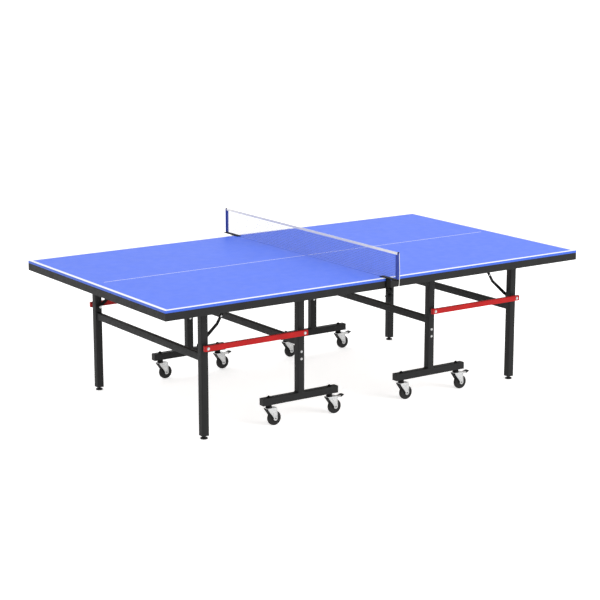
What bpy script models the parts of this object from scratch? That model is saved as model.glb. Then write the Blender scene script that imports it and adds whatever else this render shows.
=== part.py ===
"""Folding ping pong table: two rolling halves and a clamp-on net.

Metres, +Z up. The origin is on the floor under the middle of the net. X runs along the
table's length, Y along the net, and the front of the table faces -Y. Each half is a
parallelogram: wheel frame, board, link bars and outer legs, pivoted at four points.
"""

import math

import bmesh
import bpy
from mathutils import Matrix, Vector

# Playing surface
TABLE_LENGTH = 2.74
TABLE_WIDTH = 1.525
TABLE_HEIGHT = 0.76
HALVES_GAP = 0.005
BOARD_THICKNESS = 0.015

# Clearances
FIT = 0.0003  # between pieces that touch
PIN_PLAY = 0.0003  # radial, between a pin and its hole

# Apron, a channel-section frame under the board's edge
APRON_HEIGHT = 0.040
APRON_WIDTH = 0.020
APRON_SHEET = 0.002

# Square tube of both frames, and how far the frames stand from the middle of the table
TUBE = 0.040
TUBE_WALL = 0.002
FRAME_INSET = 0.189  # from the board's side to the middle of a frame's tube
WHEEL_POST_X = 0.443
LINK_SPAN = 0.600  # between the pivots of a link bar, and of the board
BOARD_PIVOT_DROP = 0.040  # board pivots, below the playing surface
LINK_PIVOT_Z = 0.492
TUBE_ABOVE_PIVOT = 0.008
CROSSBAR_Z = 0.435
CROSSBAR_HEIGHT = 0.040
CROSSBAR_THICKNESS = 0.025

# Pivot bolts
BOLT_RADIUS = 0.005
BOLT_HEAD_RADIUS = 0.0085
BOLT_HEAD = 0.0045

# Pivot channels under the board
CHANNEL_SHEET = 0.0025
CHANNEL_PLAY = 0.0005  # beside the tube, each side
CHANNEL_OVERHANG = 0.040  # past each board pivot
CHANNEL_HEIGHT = 0.040

# Link bars
LINK_HEIGHT = 0.030
LINK_THICKNESS = 0.018
LINK_WALL = 0.0015
LINK_OVERHANG = 0.020
LINK_STAND_OFF = 0.0165  # from the tube's face to the bar
SPACER_RADIUS = 0.009

# Cranked stays, from a pin on the channel to a hook over the leg's link bolt
STAY_THICKNESS = 0.005
STAY_WIDTH = 0.015
STAY_STAND_OFF = 0.015  # from the tube's inner face to the stay
STAY_PIVOT_BACK = 0.188  # from the leg's pivots, towards the net
STAY_KNEE_BACK = 0.110
STAY_KNEE_RISE = 0.098  # above the link bolt
STAY_PIN_RADIUS = 0.004
STAY_HOOK_RADIUS = 0.013
STAY_HOOK_PLAY = 0.0006
STAY_MOUTH = 0.045  # reach of the cut that opens the hook
STAY_MOUTH_DROP = 0.030

# T-legs, plugged into the wheel posts
T_SPLIT_Z = 0.325
T_SPIGOT = 0.085
T_SPIGOT_PLAY = 0.0004
T_BOLT_Z = (0.343, 0.383)
T_BOLT_RADIUS = 0.004
T_BOLT_HEAD_RADIUS = 0.007
FOOT_BAR_LENGTH = 0.480

# Levelling feet
LEG_BOTTOM = 0.018
LEG_END_PLATE = 0.003
PAD_RADIUS = 0.020
PAD_HEIGHT = 0.008
NECK_RADIUS = 0.009
STUD_RADIUS = 0.005
STUD_TOP = 0.060

# Casters
STEM_SPACING = 0.394
TRAIL = 0.033
WHEEL_RADIUS = 0.040
WHEEL_WIDTH = 0.024
WHEEL_EDGE = 0.004
AXLE_RADIUS = 0.004
FORK_GAP = 0.030
FORK_SHEET = 0.0025
FORK_ROOM = 0.020  # wheel to the top of the fork
FORK_BACK = 0.019  # top of the fork, behind the stem
FORK_FRONT = 0.042  # and ahead of it
FORK_SKIRT = 0.008  # depth of the rear edge
FORK_EAR = 0.010  # round the axle
FORK_EAR_FLAT = 0.004  # half a flat of the ear
FORK_FLARE = (0.002, 0.012)  # leading edge, past the ear and above the axle
STEM_RADIUS = 0.006
RACE_RADIUS = 0.015
RACE_HEIGHT = 0.018
STEM_NUT_RADIUS = 0.010
STEM_NUT_HEIGHT = 0.010
AXLE_END = 0.003  # past the fork, each side
BRAKE_PIN_AHEAD = 0.018  # of the stem
BRAKE_PIN_DROP = 0.0115  # below the top of the fork
BRAKE_PIN_RADIUS = 0.0025
BRAKE_WIDTH = 0.026
BRAKE_REACH = 0.072
BRAKE_OUTLINE = (  # the lever's side view, in X and Z from its pin
    (-0.0052, -0.002),
    (-0.0052, 0.003),
    (-0.002, 0.0052),
    (0.010, 0.0045),
    (0.034, 0.0075),
    (BRAKE_REACH, 0.013),
    (BRAKE_REACH + 0.002, 0.009),
    (0.036, 0.002),
    (0.022, -0.004),
    (0.004, -0.0052),
    (-0.002, -0.0052),
)

# Net and its clamps
NET_POST_OUT = 0.0895  # outside the board's edge
NET_POST_RADIUS = 0.005
NET_RISE = 0.1525  # playing surface to the top of the net
NET_POST_TOP = 0.0025  # above the top of the net
NET_THICKNESS = 0.002
NET_TAPE_HEIGHT = 0.014
NET_TAPE_THICKNESS = 0.004
NET_FOOT_GAP = 0.0075  # playing surface to the net
CLAMP_WIDTH = 0.030
CLAMP_BAR = 0.004
CLAMP_REACH = 0.053  # inwards over the board
CLAMP_PLATE = 0.008
CLAMP_FACE_GAP = 0.0008
CLAMP_BAR_END = 0.001  # past the net post
CLAMP_DROP = 0.060  # plate, below the playing surface
JAW_PIVOT_OUT = 0.0155  # outside the board's edge
JAW_PIVOT_BELOW = 0.008  # below the plate
JAW_PIN_RADIUS = 0.0025
JAW_BARREL_RADIUS = 0.0055
JAW_LUG = 0.0036
JAW_LUG_LAP = 0.006  # of the lugs on the plate
JAW_LENGTH = 0.058
JAW_THICKNESS = 0.005
JAW_SCREW_AT = 0.022  # from the jaw's pivot, so that the screw meets the apron
SCREW_RADIUS = 0.004
SCREW_TIP = 0.0075  # past the jaw
SCREW_NECK = 0.002  # jaw to the screw's head
SCREW_HEAD_RADIUS = 0.0075
SCREW_HEAD = 0.013
HANDLE_RADIUS = 0.002  # bar that slides through the screw's head, pushed to the left
HANDLE_LEFT = 0.036
HANDLE_RIGHT = 0.012
HANDLE_END_RADIUS = 0.0035
HANDLE_END = 0.006
CORD_RADIUS = 0.0015
CORD_DROP = 0.178
CORD_STAND_OFF = 0.002  # from the post, and below the top of the net
CORD_SWAY = 0.006
CORD_STEPS = 24

ROUND = 20  # sides of a wheel or foot
BOLT_SIDES = 12  # sides of a bolt, pin or hole

# Derived levels
BOARD_BOTTOM = TABLE_HEIGHT - BOARD_THICKNESS
UNDER_BOARD = BOARD_BOTTOM - FIT
PIVOT_Z = TABLE_HEIGHT - BOARD_PIVOT_DROP
TUBE_TOP = PIVOT_Z + TUBE_ABOVE_PIVOT
LEG_X = WHEEL_POST_X + LINK_SPAN
FRAME_Y = TABLE_WIDTH / 2 - FRAME_INSET
NET_POST_Y = TABLE_WIDTH / 2 + NET_POST_OUT
JAW_PIVOT_DROP = CLAMP_DROP + JAW_PIVOT_BELOW
STAY_PIVOT_X = LEG_X - STAY_PIVOT_BACK
STAY_KNEE_X = LEG_X - STAY_KNEE_BACK
STAY_KNEE_Z = LINK_PIVOT_Z + STAY_KNEE_RISE
FORK_TOP = 2 * WHEEL_RADIUS + FORK_ROOM
FOOT_BAR_BOTTOM = FORK_TOP + RACE_HEIGHT
TUBE_INNER_Y = FRAME_Y - TUBE / 2
TUBE_OUTER_Y = FRAME_Y + TUBE / 2
FOOT_BAR_TOP = FOOT_BAR_BOTTOM + TUBE
LINK_INNER_Y = TUBE_OUTER_Y + LINK_STAND_OFF
LINK_OUTER_Y = LINK_INNER_Y + LINK_THICKNESS
STAY_OUTER_Y = TUBE_INNER_Y - STAY_STAND_OFF
STAY_INNER_Y = STAY_OUTER_Y - STAY_THICKNESS
CHANNEL_INNER = TUBE / 2 + CHANNEL_PLAY
CHANNEL_OUTER = CHANNEL_INNER + CHANNEL_SHEET

LEFT, RIGHT = ("left", -1), ("right", 1)
FRONT, BACK = ("front", -1), ("back", 1)


for old in list(bpy.data.objects):
    bpy.data.objects.remove(old, do_unlink=True)


def new_collection(name):
    collection = bpy.data.collections.new(name)
    bpy.context.scene.collection.children.link(collection)
    return collection


PARTS = new_collection("ping_pong_table")
TOOLS = new_collection("cutters")


def make_material(name, colour, roughness, metallic=0.0):
    made = bpy.data.materials.new(name)
    made.use_nodes = True
    shader = made.node_tree.nodes["Principled BSDF"]
    shader.inputs["Base Color"].default_value = (*colour, 1.0)
    shader.inputs["Roughness"].default_value = roughness
    shader.inputs["Metallic"].default_value = metallic
    made.diffuse_color = (*colour, 1.0)
    return made


BLUE_PAINT = make_material("blue_playing_paint", (0.16, 0.25, 0.85), 0.45)
DARK_STEEL = make_material("dark_grey_steel", (0.045, 0.047, 0.055), 0.4, 0.5)
RED_STEEL = make_material("red_steel", (0.50, 0.03, 0.03), 0.4, 0.2)
BLACK_STEEL = make_material("black_steel", (0.02, 0.02, 0.022), 0.4, 0.5)
ZINC = make_material("zinc_plated_steel", (0.62, 0.63, 0.65), 0.3, 1.0)
BLACK_PLASTIC = make_material("black_plastic", (0.015, 0.015, 0.016), 0.5)
TYRE_RUBBER = make_material("black_rubber", (0.018, 0.018, 0.02), 0.7)
BLUE_NETTING = make_material("blue_netting", (0.03, 0.08, 0.55), 0.8)
CREAM_TAPE = make_material("cream_tape", (0.75, 0.72, 0.66), 0.8)
WHITE_CORD = make_material("white_cord", (0.8, 0.8, 0.78), 0.7)


# Shapes
def add_box(bm, low, high):
    """A box between two opposite corners, given in any order."""
    low, high = Vector(low), Vector(high)
    size = Vector(abs(b - a) for a, b in zip(low, high))
    placed = Matrix.Translation((low + high) / 2) @ Matrix.Diagonal(size).to_4x4()
    bmesh.ops.create_cube(bm, size=1.0, matrix=placed)


def add_cylinder(bm, start, end, radius):
    """A capped cylinder from one point to another."""
    start, end = Vector(start), Vector(end)
    turn = (end - start).to_track_quat("Z", "Y").to_matrix().to_4x4()
    bmesh.ops.create_cone(
        bm,
        cap_ends=True,
        segments=BOLT_SIDES,
        radius1=radius,
        radius2=radius,
        depth=(end - start).length,
        matrix=Matrix.Translation((start + end) / 2) @ turn,
    )


def finish_mesh(name, bm, collection, origin=(0, 0, 0)):
    """An object whose origin is at origin, from a bmesh in table coordinates."""
    mesh = bpy.data.meshes.new(name)
    bmesh.ops.translate(bm, verts=bm.verts, vec=-Vector(origin))
    bm.to_mesh(mesh)
    bm.free()
    made = bpy.data.objects.new(name, mesh)
    made.location = origin
    collection.objects.link(made)
    return made


def hide_tool(tool):
    tool.hide_render = True
    tool.display_type = "WIRE"


def make_part(name, material, bm, origin=(0, 0, 0)):
    made = finish_mesh(name, bm, PARTS, origin)
    made.data.materials.append(material)
    return made


def box_part(name, material, low, high, origin=(0, 0, 0)):
    bm = bmesh.new()
    add_box(bm, low, high)
    return make_part(name, material, bm, origin)


def apply_tool(part, tool, operation):
    hide_tool(tool)
    step = part.modifiers.new(tool.name, "BOOLEAN")
    step.operation = operation
    step.solver = "EXACT"
    step.object = tool


def boxes_tool(part, operation, boxes):
    """One Boolean for boxes that stand clear of each other, or one each if they meet."""
    bm = bmesh.new()
    for low, high in boxes:
        add_box(bm, low, high)
    name = f"{part.name}.{operation.lower()}_boxes"
    apply_tool(part, finish_mesh(name, bm, TOOLS), operation)


def rods_tool(part, operation, rods):
    """One Boolean for cylinders that stand clear of each other: (start, end, radius)."""
    bm = bmesh.new()
    for start, end, radius in rods:
        add_cylinder(bm, start, end, radius)
    name = f"{part.name}.{operation.lower()}_rods"
    apply_tool(part, finish_mesh(name, bm, TOOLS), operation)


def smooth_round(part):
    part.data.shade_smooth()
    part.data.set_sharp_from_angle(angle=math.radians(35))


def outline_mesh(name, outline, y_middle, thickness, collection, origin=(0, 0, 0)):
    """A flat plate: an outline in X and Z, given thickness along Y."""
    curve = bpy.data.curves.new(name, "CURVE")
    curve.dimensions = "2D"
    curve.fill_mode = "BOTH"
    curve.extrude = thickness / 2
    spline = curve.splines.new("POLY")
    spline.points.add(len(outline) - 1)
    for point, (x, z) in zip(spline.points, outline):
        point.co = (x - origin[0], z - origin[2], 0, 1)
    spline.use_cyclic_u = True
    flat = bpy.data.objects.new(name + "_outline", curve)
    flat.location = (origin[0], y_middle, origin[2])
    flat.rotation_euler = (math.radians(90), 0, 0)
    collection.objects.link(flat)
    bpy.context.view_layer.update()
    placed = flat.matrix_world.copy()
    seen = flat.evaluated_get(bpy.context.evaluated_depsgraph_get())
    bm = bmesh.new()
    bm.from_mesh(bpy.data.meshes.new_from_object(seen))
    bmesh.ops.remove_doubles(bm, verts=bm.verts, dist=0.00005)
    bmesh.ops.transform(bm, matrix=placed, verts=bm.verts)
    bmesh.ops.recalc_face_normals(bm, faces=bm.faces)
    bpy.data.objects.remove(flat, do_unlink=True)
    return finish_mesh(name, bm, collection, origin)


def turned_object(name, profile, place, collection, sides=ROUND, closed=False, axis="Z"):
    """A profile of (radius, height) turned about its own Z, which then lies along axis."""
    mesh = bpy.data.meshes.new(name)
    count = len(profile)
    edges = [(i, i + 1) for i in range(count - 1)]
    if closed:
        edges.append((count - 1, 0))
    mesh.from_pydata([(r, 0, h) for r, h in profile], edges, [])
    made = bpy.data.objects.new(name, mesh)
    made.location = place
    if axis == "Y":
        made.rotation_euler = (math.radians(90), 0, 0)
    collection.objects.link(made)
    turn = made.modifiers.new("turn", "SCREW")
    turn.steps = sides
    turn.render_steps = sides
    turn.use_merge_vertices = True
    turn.merge_threshold = 0.00001
    turn.use_smooth_shade = True
    return made


# Boards and aprons
def make_board(half, sx):
    inner = sx * HALVES_GAP / 2
    outer = sx * TABLE_LENGTH / 2
    pivot = (sx * WHEEL_POST_X, 0, PIVOT_Z)
    box_part(
        f"board_{half}",
        BLUE_PAINT,
        (inner, -TABLE_WIDTH / 2, BOARD_BOTTOM),
        (outer, TABLE_WIDTH / 2, TABLE_HEIGHT),
        pivot,
    )


def make_apron(half, sx):
    """A channel section bent round the half's edge, open towards the middle."""
    inner = HALVES_GAP / 2
    outer = TABLE_LENGTH / 2
    side = TABLE_WIDTH / 2
    bottom = UNDER_BOARD - APRON_HEIGHT
    part = box_part(
        f"apron_{half}",
        DARK_STEEL,
        (sx * inner, -side, bottom),
        (sx * outer, side, UNDER_BOARD),
        (sx * WHEEL_POST_X, 0, PIVOT_Z),
    )
    w = APRON_WIDTH
    t = APRON_SHEET
    middle = (
        (sx * (inner + w), -side + w, bottom - t),
        (sx * (outer - w), side - w, UNDER_BOARD + t),
    )
    throat = (
        (sx * (inner + t), -side + t, bottom + t),
        (sx * (outer - t), side - t, UNDER_BOARD - t),
    )
    boxes_tool(part, "DIFFERENCE", [middle])
    boxes_tool(part, "DIFFERENCE", [throat])


def make_channel(half, sx, end, sy):
    """An inverted channel under the board that holds the board pivots of one side."""
    x_low = WHEEL_POST_X - CHANNEL_OVERHANG
    x_high = LEG_X + CHANNEL_OVERHANG
    y_low = sy * (FRAME_Y - CHANNEL_OUTER)
    y_high = sy * (FRAME_Y + CHANNEL_OUTER)
    bottom = UNDER_BOARD - CHANNEL_HEIGHT
    part = box_part(
        f"pivot_channel_{half}_{end}",
        DARK_STEEL,
        (sx * x_low, y_low, bottom),
        (sx * x_high, y_high, UNDER_BOARD),
        (sx * WHEEL_POST_X, sy * FRAME_Y, PIVOT_Z),
    )
    past = CHANNEL_SHEET
    trough = (
        (sx * (x_low - past), sy * (FRAME_Y - CHANNEL_INNER), bottom - past),
        (sx * (x_high + past), sy * (FRAME_Y + CHANNEL_INNER), UNDER_BOARD - CHANNEL_SHEET),
    )
    boxes_tool(part, "DIFFERENCE", [trough])
    holes = []
    for x in (WHEEL_POST_X, LEG_X):
        holes.append(
            (
                (sx * x, y_low - sy * past, PIVOT_Z),
                (sx * x, y_high + sy * past, PIVOT_Z),
                BOLT_RADIUS + PIN_PLAY,
            )
        )
    rods_tool(part, "DIFFERENCE", holes)
    wall_middle = sy * (FRAME_Y - CHANNEL_INNER - CHANNEL_SHEET / 2)
    x = sx * STAY_PIVOT_X
    pin_end = sy * (STAY_INNER_Y - FIT - BOLT_HEAD)
    head_start = sy * (STAY_INNER_Y - FIT)
    rods_tool(part, "UNION", [((x, wall_middle, PIVOT_Z), (x, pin_end, PIVOT_Z), STAY_PIN_RADIUS)])
    rods_tool(part, "UNION", [((x, head_start, PIVOT_Z), (x, pin_end, PIVOT_Z), BOLT_HEAD_RADIUS)])


# Frames
def tube_box(x, y, z_low, z_high, inset=0.0):
    """The corners of an upright square tube, or of its bore with an inset."""
    reach = TUBE / 2 - inset
    return (x - reach, y - reach, z_low), (x + reach, y + reach, z_high)


def crossbar_box(x, y_reach, inset=0.0):
    half = CROSSBAR_THICKNESS / 2 - inset
    rise = CROSSBAR_HEIGHT / 2 - inset
    return (x - half, -y_reach, CROSSBAR_Z - rise), (x + half, y_reach, CROSSBAR_Z + rise)


def pivot_bolt(x, z, sy, y_low, y_high):
    """Shank and two heads of a bolt whose heads start at y_low and y_high."""
    shank = ((x, sy * y_low, z), (x, sy * y_high, z), BOLT_RADIUS)
    heads = [
        ((x, sy * (y_low - BOLT_HEAD), z), (x, sy * (y_low + FIT), z), BOLT_HEAD_RADIUS),
        ((x, sy * (y_high - FIT), z), (x, sy * (y_high + BOLT_HEAD), z), BOLT_HEAD_RADIUS),
    ]
    return shank, heads


def add_pivot_bolts(part, x, inner_y):
    """Board and link bolts of both uprights; inner_y is where a link bolt's inner head is."""
    shanks = []
    heads = []
    spacers = []
    for sy in (-1, 1):
        for z, y_low, y_high in (
            (PIVOT_Z, FRAME_Y - CHANNEL_OUTER - FIT, FRAME_Y + CHANNEL_OUTER + FIT),
            (LINK_PIVOT_Z, inner_y, LINK_OUTER_Y + FIT),
        ):
            shank, ends = pivot_bolt(x, z, sy, y_low, y_high)
            shanks.append(shank)
            heads.extend(ends)
        start = (x, sy * (TUBE_OUTER_Y - TUBE_WALL / 2), LINK_PIVOT_Z)
        spacers.append((start, (x, sy * (LINK_INNER_Y - FIT), LINK_PIVOT_Z), SPACER_RADIUS))
    rods_tool(part, "UNION", shanks)
    rods_tool(part, "UNION", heads)
    rods_tool(part, "UNION", spacers)


def make_wheel_frame(half, sx):
    """Two posts joined by a crossbar; the T-legs plug into the posts from below."""
    x = sx * WHEEL_POST_X
    bottom = T_SPLIT_Z + FIT
    part = box_part(
        f"wheel_frame_{half}",
        DARK_STEEL,
        *tube_box(x, -FRAME_Y, bottom, TUBE_TOP),
        (x, 0, PIVOT_Z),
    )
    boxes_tool(part, "UNION", [tube_box(x, FRAME_Y, bottom, TUBE_TOP)])
    boxes_tool(part, "UNION", [crossbar_box(x, FRAME_Y)])
    bores = [
        tube_box(x, sy * FRAME_Y, bottom - TUBE_WALL, TUBE_TOP + TUBE_WALL, TUBE_WALL)
        for sy in (-1, 1)
    ]
    boxes_tool(part, "DIFFERENCE", bores)
    boxes_tool(part, "DIFFERENCE", [crossbar_box(x, FRAME_Y, TUBE_WALL)])
    holes = []
    for sy in (-1, 1):
        for z in T_BOLT_Z:
            start = (x, sy * (TUBE_INNER_Y - TUBE_WALL), z)
            holes.append((start, (x, sy * (TUBE_OUTER_Y + TUBE_WALL), z), T_BOLT_RADIUS + PIN_PLAY))
    rods_tool(part, "DIFFERENCE", holes)
    add_pivot_bolts(part, x, TUBE_INNER_Y)


def make_leg_frame(half, sx):
    """Two outer legs joined by a crossbar, with a drilled plate in each leg's end."""
    x = sx * LEG_X
    part = box_part(
        f"leg_frame_{half}",
        DARK_STEEL,
        *tube_box(x, -FRAME_Y, LEG_BOTTOM, TUBE_TOP),
        (x, 0, PIVOT_Z),
    )
    boxes_tool(part, "UNION", [tube_box(x, FRAME_Y, LEG_BOTTOM, TUBE_TOP)])
    boxes_tool(part, "UNION", [crossbar_box(x, FRAME_Y)])
    bores = [
        tube_box(x, sy * FRAME_Y, LEG_BOTTOM + LEG_END_PLATE, TUBE_TOP + TUBE_WALL, TUBE_WALL)
        for sy in (-1, 1)
    ]
    boxes_tool(part, "DIFFERENCE", bores)
    boxes_tool(part, "DIFFERENCE", [crossbar_box(x, FRAME_Y, TUBE_WALL)])
    holes = []
    for sy in (-1, 1):
        y = sy * FRAME_Y
        top = LEG_BOTTOM + 2 * LEG_END_PLATE
        holes.append(
            ((x, y, LEG_BOTTOM - LEG_END_PLATE), (x, y, top), STUD_RADIUS + PIN_PLAY)
        )
    rods_tool(part, "DIFFERENCE", holes)
    add_pivot_bolts(part, x, STAY_INNER_Y - FIT)


def make_t_leg(half, sx, end, sy):
    """A foot bar with a short post, whose spigot is bolted inside the wheel post."""
    x = sx * WHEEL_POST_X
    y = sy * FRAME_Y
    reach = FOOT_BAR_LENGTH / 2
    part = box_part(
        f"t_leg_{half}_{end}",
        DARK_STEEL,
        (x - reach, y - TUBE / 2, FOOT_BAR_BOTTOM),
        (x + reach, y + TUBE / 2, FOOT_BAR_TOP),
        (x, y, FOOT_BAR_BOTTOM),
    )
    spigot_inset = TUBE_WALL + T_SPIGOT_PLAY
    spigot_top = T_SPLIT_Z + T_SPIGOT
    boxes_tool(part, "UNION", [tube_box(x, y, FOOT_BAR_TOP - TUBE_WALL / 2, T_SPLIT_Z)])
    spigot = tube_box(x, y, T_SPLIT_Z - TUBE_WALL, spigot_top, spigot_inset)
    boxes_tool(part, "UNION", [spigot])
    bore_inset = spigot_inset + TUBE_WALL
    bore = tube_box(x, y, FOOT_BAR_TOP - 2 * TUBE_WALL, spigot_top + TUBE_WALL, bore_inset)
    boxes_tool(part, "DIFFERENCE", [bore])
    long_bore = (
        (x - reach - TUBE_WALL, y - TUBE / 2 + TUBE_WALL, FOOT_BAR_BOTTOM + TUBE_WALL),
        (x + reach + TUBE_WALL, y + TUBE / 2 - TUBE_WALL, FOOT_BAR_TOP - TUBE_WALL),
    )
    boxes_tool(part, "DIFFERENCE", [long_bore])
    holes = []
    for sign in (-1, 1):
        at = x + sign * STEM_SPACING / 2
        low = FOOT_BAR_BOTTOM - TUBE_WALL
        high = FOOT_BAR_TOP + TUBE_WALL
        holes.append(((at, y, low), (at, y, high), STEM_RADIUS + PIN_PLAY))
    rods_tool(part, "DIFFERENCE", holes)
    shanks = []
    heads = []
    near = TUBE / 2 + FIT
    far = near + BOLT_HEAD
    for z in T_BOLT_Z:
        shanks.append(((x, y - far, z), (x, y + far, z), T_BOLT_RADIUS))
        for sign in (-1, 1):
            heads.append(((x, y + sign * near, z), (x, y + sign * far, z), T_BOLT_HEAD_RADIUS))
    rods_tool(part, "UNION", shanks)
    rods_tool(part, "UNION", heads)


def make_link_bar(half, sx, end, sy):
    """A rectangular tube between the wheel post and the outer leg."""
    low_x = WHEEL_POST_X - LINK_OVERHANG
    high_x = LEG_X + LINK_OVERHANG
    rise = LINK_HEIGHT / 2
    part = box_part(
        f"link_bar_{half}_{end}",
        RED_STEEL,
        (sx * low_x, sy * LINK_INNER_Y, LINK_PIVOT_Z - rise),
        (sx * high_x, sy * LINK_OUTER_Y, LINK_PIVOT_Z + rise),
        (sx * WHEEL_POST_X, sy * LINK_INNER_Y, LINK_PIVOT_Z),
    )
    w = LINK_WALL
    bore = (
        (sx * (low_x - w), sy * (LINK_INNER_Y + w), LINK_PIVOT_Z - rise + w),
        (sx * (high_x + w), sy * (LINK_OUTER_Y - w), LINK_PIVOT_Z + rise - w),
    )
    boxes_tool(part, "DIFFERENCE", [bore])
    holes = [
        (
            (sx * x, sy * (LINK_INNER_Y - w), LINK_PIVOT_Z),
            (sx * x, sy * (LINK_OUTER_Y + w), LINK_PIVOT_Z),
            BOLT_RADIUS + PIN_PLAY,
        )
        for x in (WHEEL_POST_X, LEG_X)
    ]
    rods_tool(part, "DIFFERENCE", holes)


def band(points, width):
    """The outline of a flat bar of one width that follows three points."""
    a, b, c = (Vector(p) for p in points)
    first = (b - a).normalized()
    second = (c - b).normalized()
    side_a = Vector((-first.y, first.x)) * width / 2
    side_c = Vector((-second.y, second.x)) * width / 2
    mitre = (side_a + side_c).normalized()
    side_b = mitre * (width / 2) / mitre.dot(side_a.normalized())
    return [a + side_a, b + side_b, c + side_c, c - side_c, b - side_b, a - side_a]


def make_stay(half, sx, end, sy):
    """A cranked flat bar, pinned to the channel, whose open hook rests on the link bolt."""
    top = Vector((STAY_PIVOT_X, PIVOT_Z))
    knee = Vector((STAY_KNEE_X, STAY_KNEE_Z))
    bolt = Vector((LEG_X, LINK_PIVOT_Z))
    start = top - (knee - top).normalized() * STAY_WIDTH / 2
    outline = [(sx * p.x, p.y) for p in band((start, knee, bolt), STAY_WIDTH)]
    middle = sy * (STAY_INNER_Y + STAY_THICKNESS / 2)
    origin = (sx * STAY_PIVOT_X, middle, PIVOT_Z)
    part = outline_mesh(
        f"stay_{half}_{end}", outline, middle, STAY_THICKNESS, PARTS, origin
    )
    part.data.materials.clear()
    part.data.materials.append(BLACK_STEEL)
    past = STAY_THICKNESS
    hole = (
        (sx * top.x, middle - past, PIVOT_Z),
        (sx * top.x, middle + past, PIVOT_Z),
        STAY_PIN_RADIUS + PIN_PLAY,
    )
    rods_tool(part, "DIFFERENCE", [hole])
    face = STAY_THICKNESS / 2
    eye = ((sx * bolt.x, middle - face, bolt.y), (sx * bolt.x, middle + face, bolt.y))
    rods_tool(part, "UNION", [(*eye, STAY_HOOK_RADIUS)])
    reach = BOLT_RADIUS + STAY_HOOK_PLAY
    mouth = (
        (sx * (bolt.x + reach), middle - past, bolt.y + reach),
        (sx * (bolt.x - STAY_MOUTH), middle + past, bolt.y - STAY_MOUTH_DROP),
    )
    boxes_tool(part, "DIFFERENCE", [mouth])


def make_foot(half, sx, end, sy):
    """A levelling foot: pad, neck and the stud that screws into the leg."""
    profile = [
        (0, STUD_TOP),
        (STUD_RADIUS, STUD_TOP),
        (STUD_RADIUS, LEG_BOTTOM - FIT),
        (NECK_RADIUS, LEG_BOTTOM - FIT),
        (NECK_RADIUS, PAD_HEIGHT),
        (PAD_RADIUS, PAD_HEIGHT / 2),
        (PAD_RADIUS, 0),
        (0, 0),
    ]
    name = f"levelling_foot_{half}_{end}"
    part = turned_object(name, profile, (sx * LEG_X, sy * FRAME_Y, 0), PARTS)
    part.data.materials.append(BLACK_PLASTIC)


# Casters
def make_fork(name, stem_x, y):
    """A pressed fork with its race, its stem through the foot bar and the axle."""
    axle_x = stem_x + TRAIL
    top = FORK_TOP
    ear = FORK_EAR
    flat = FORK_EAR_FLAT
    outline = [
        (stem_x - FORK_BACK, top),
        (stem_x + FORK_FRONT, top),
        (axle_x + ear + FORK_FLARE[0], WHEEL_RADIUS + FORK_FLARE[1]),
        (axle_x + ear, WHEEL_RADIUS - flat),
        (axle_x + flat, WHEEL_RADIUS - ear),
        (axle_x - flat, WHEEL_RADIUS - ear),
        (axle_x - ear, WHEEL_RADIUS - flat / 2),
        (stem_x - FORK_BACK, top - FORK_SKIRT),
    ]
    width = FORK_GAP + 2 * FORK_SHEET
    origin = (stem_x, y, top)
    part = outline_mesh(name, outline, y, width, PARTS, origin)
    part.data.materials.clear()
    part.data.materials.append(ZINC)
    past = TRAIL + WHEEL_RADIUS
    gap = (
        (stem_x - past, y - FORK_GAP / 2, -FORK_SHEET),
        (stem_x + past, y + FORK_GAP / 2, top - FORK_SHEET),
    )
    boxes_tool(part, "DIFFERENCE", [gap])
    bar_top = FOOT_BAR_TOP + FIT
    stem_profile = [
        (0, bar_top + STEM_NUT_HEIGHT),
        (STEM_NUT_RADIUS, bar_top + STEM_NUT_HEIGHT),
        (STEM_NUT_RADIUS, bar_top),
        (STEM_RADIUS, bar_top),
        (STEM_RADIUS, FOOT_BAR_BOTTOM - FIT),
        (RACE_RADIUS, FOOT_BAR_BOTTOM - FIT),
        (RACE_RADIUS, top - FORK_SHEET / 2),
        (0, top - FORK_SHEET / 2),
    ]
    stem = turned_object(f"{name}.stem", stem_profile, (stem_x, y, 0), TOOLS, BOLT_SIDES)
    apply_tool(part, stem, "UNION")
    reach = width / 2 + AXLE_END
    axle = ((axle_x, y - reach, WHEEL_RADIUS), (axle_x, y + reach, WHEEL_RADIUS))
    rods_tool(part, "UNION", [(*axle, AXLE_RADIUS)])
    smooth_round(part)
    return part


def make_wheel(name, stem_x, y):
    r = WHEEL_RADIUS
    w = WHEEL_WIDTH / 2
    e = WHEEL_EDGE
    bore = AXLE_RADIUS + PIN_PLAY
    profile = [
        (bore, w),
        (r - e, w),
        (r, w - e),
        (r, -w + e),
        (r - e, -w),
        (bore, -w),
    ]
    place = (stem_x + TRAIL, y, WHEEL_RADIUS)
    part = turned_object(name, profile, place, PARTS, closed=True, axis="Y")
    part.data.materials.append(TYRE_RUBBER)


def make_brake(name, fork, stem_x, y):
    """A lever over the wheel, hinged on a pin across the fork."""
    px = stem_x + BRAKE_PIN_AHEAD
    pz = FORK_TOP - BRAKE_PIN_DROP
    reach_y = FORK_GAP / 2 + FORK_SHEET / 2
    pin = ((px, y - reach_y, pz), (px, y + reach_y, pz), BRAKE_PIN_RADIUS)
    rods_tool(fork, "UNION", [pin])
    outline = [(px + x, pz + z) for x, z in BRAKE_OUTLINE]
    part = outline_mesh(name, outline, y, BRAKE_WIDTH, PARTS, (px, y, pz))
    part.data.materials.clear()
    part.data.materials.append(ZINC)
    hole = ((px, y - BRAKE_WIDTH, pz), (px, y + BRAKE_WIDTH, pz), BRAKE_PIN_RADIUS + PIN_PLAY)
    rods_tool(part, "DIFFERENCE", [hole])


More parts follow.
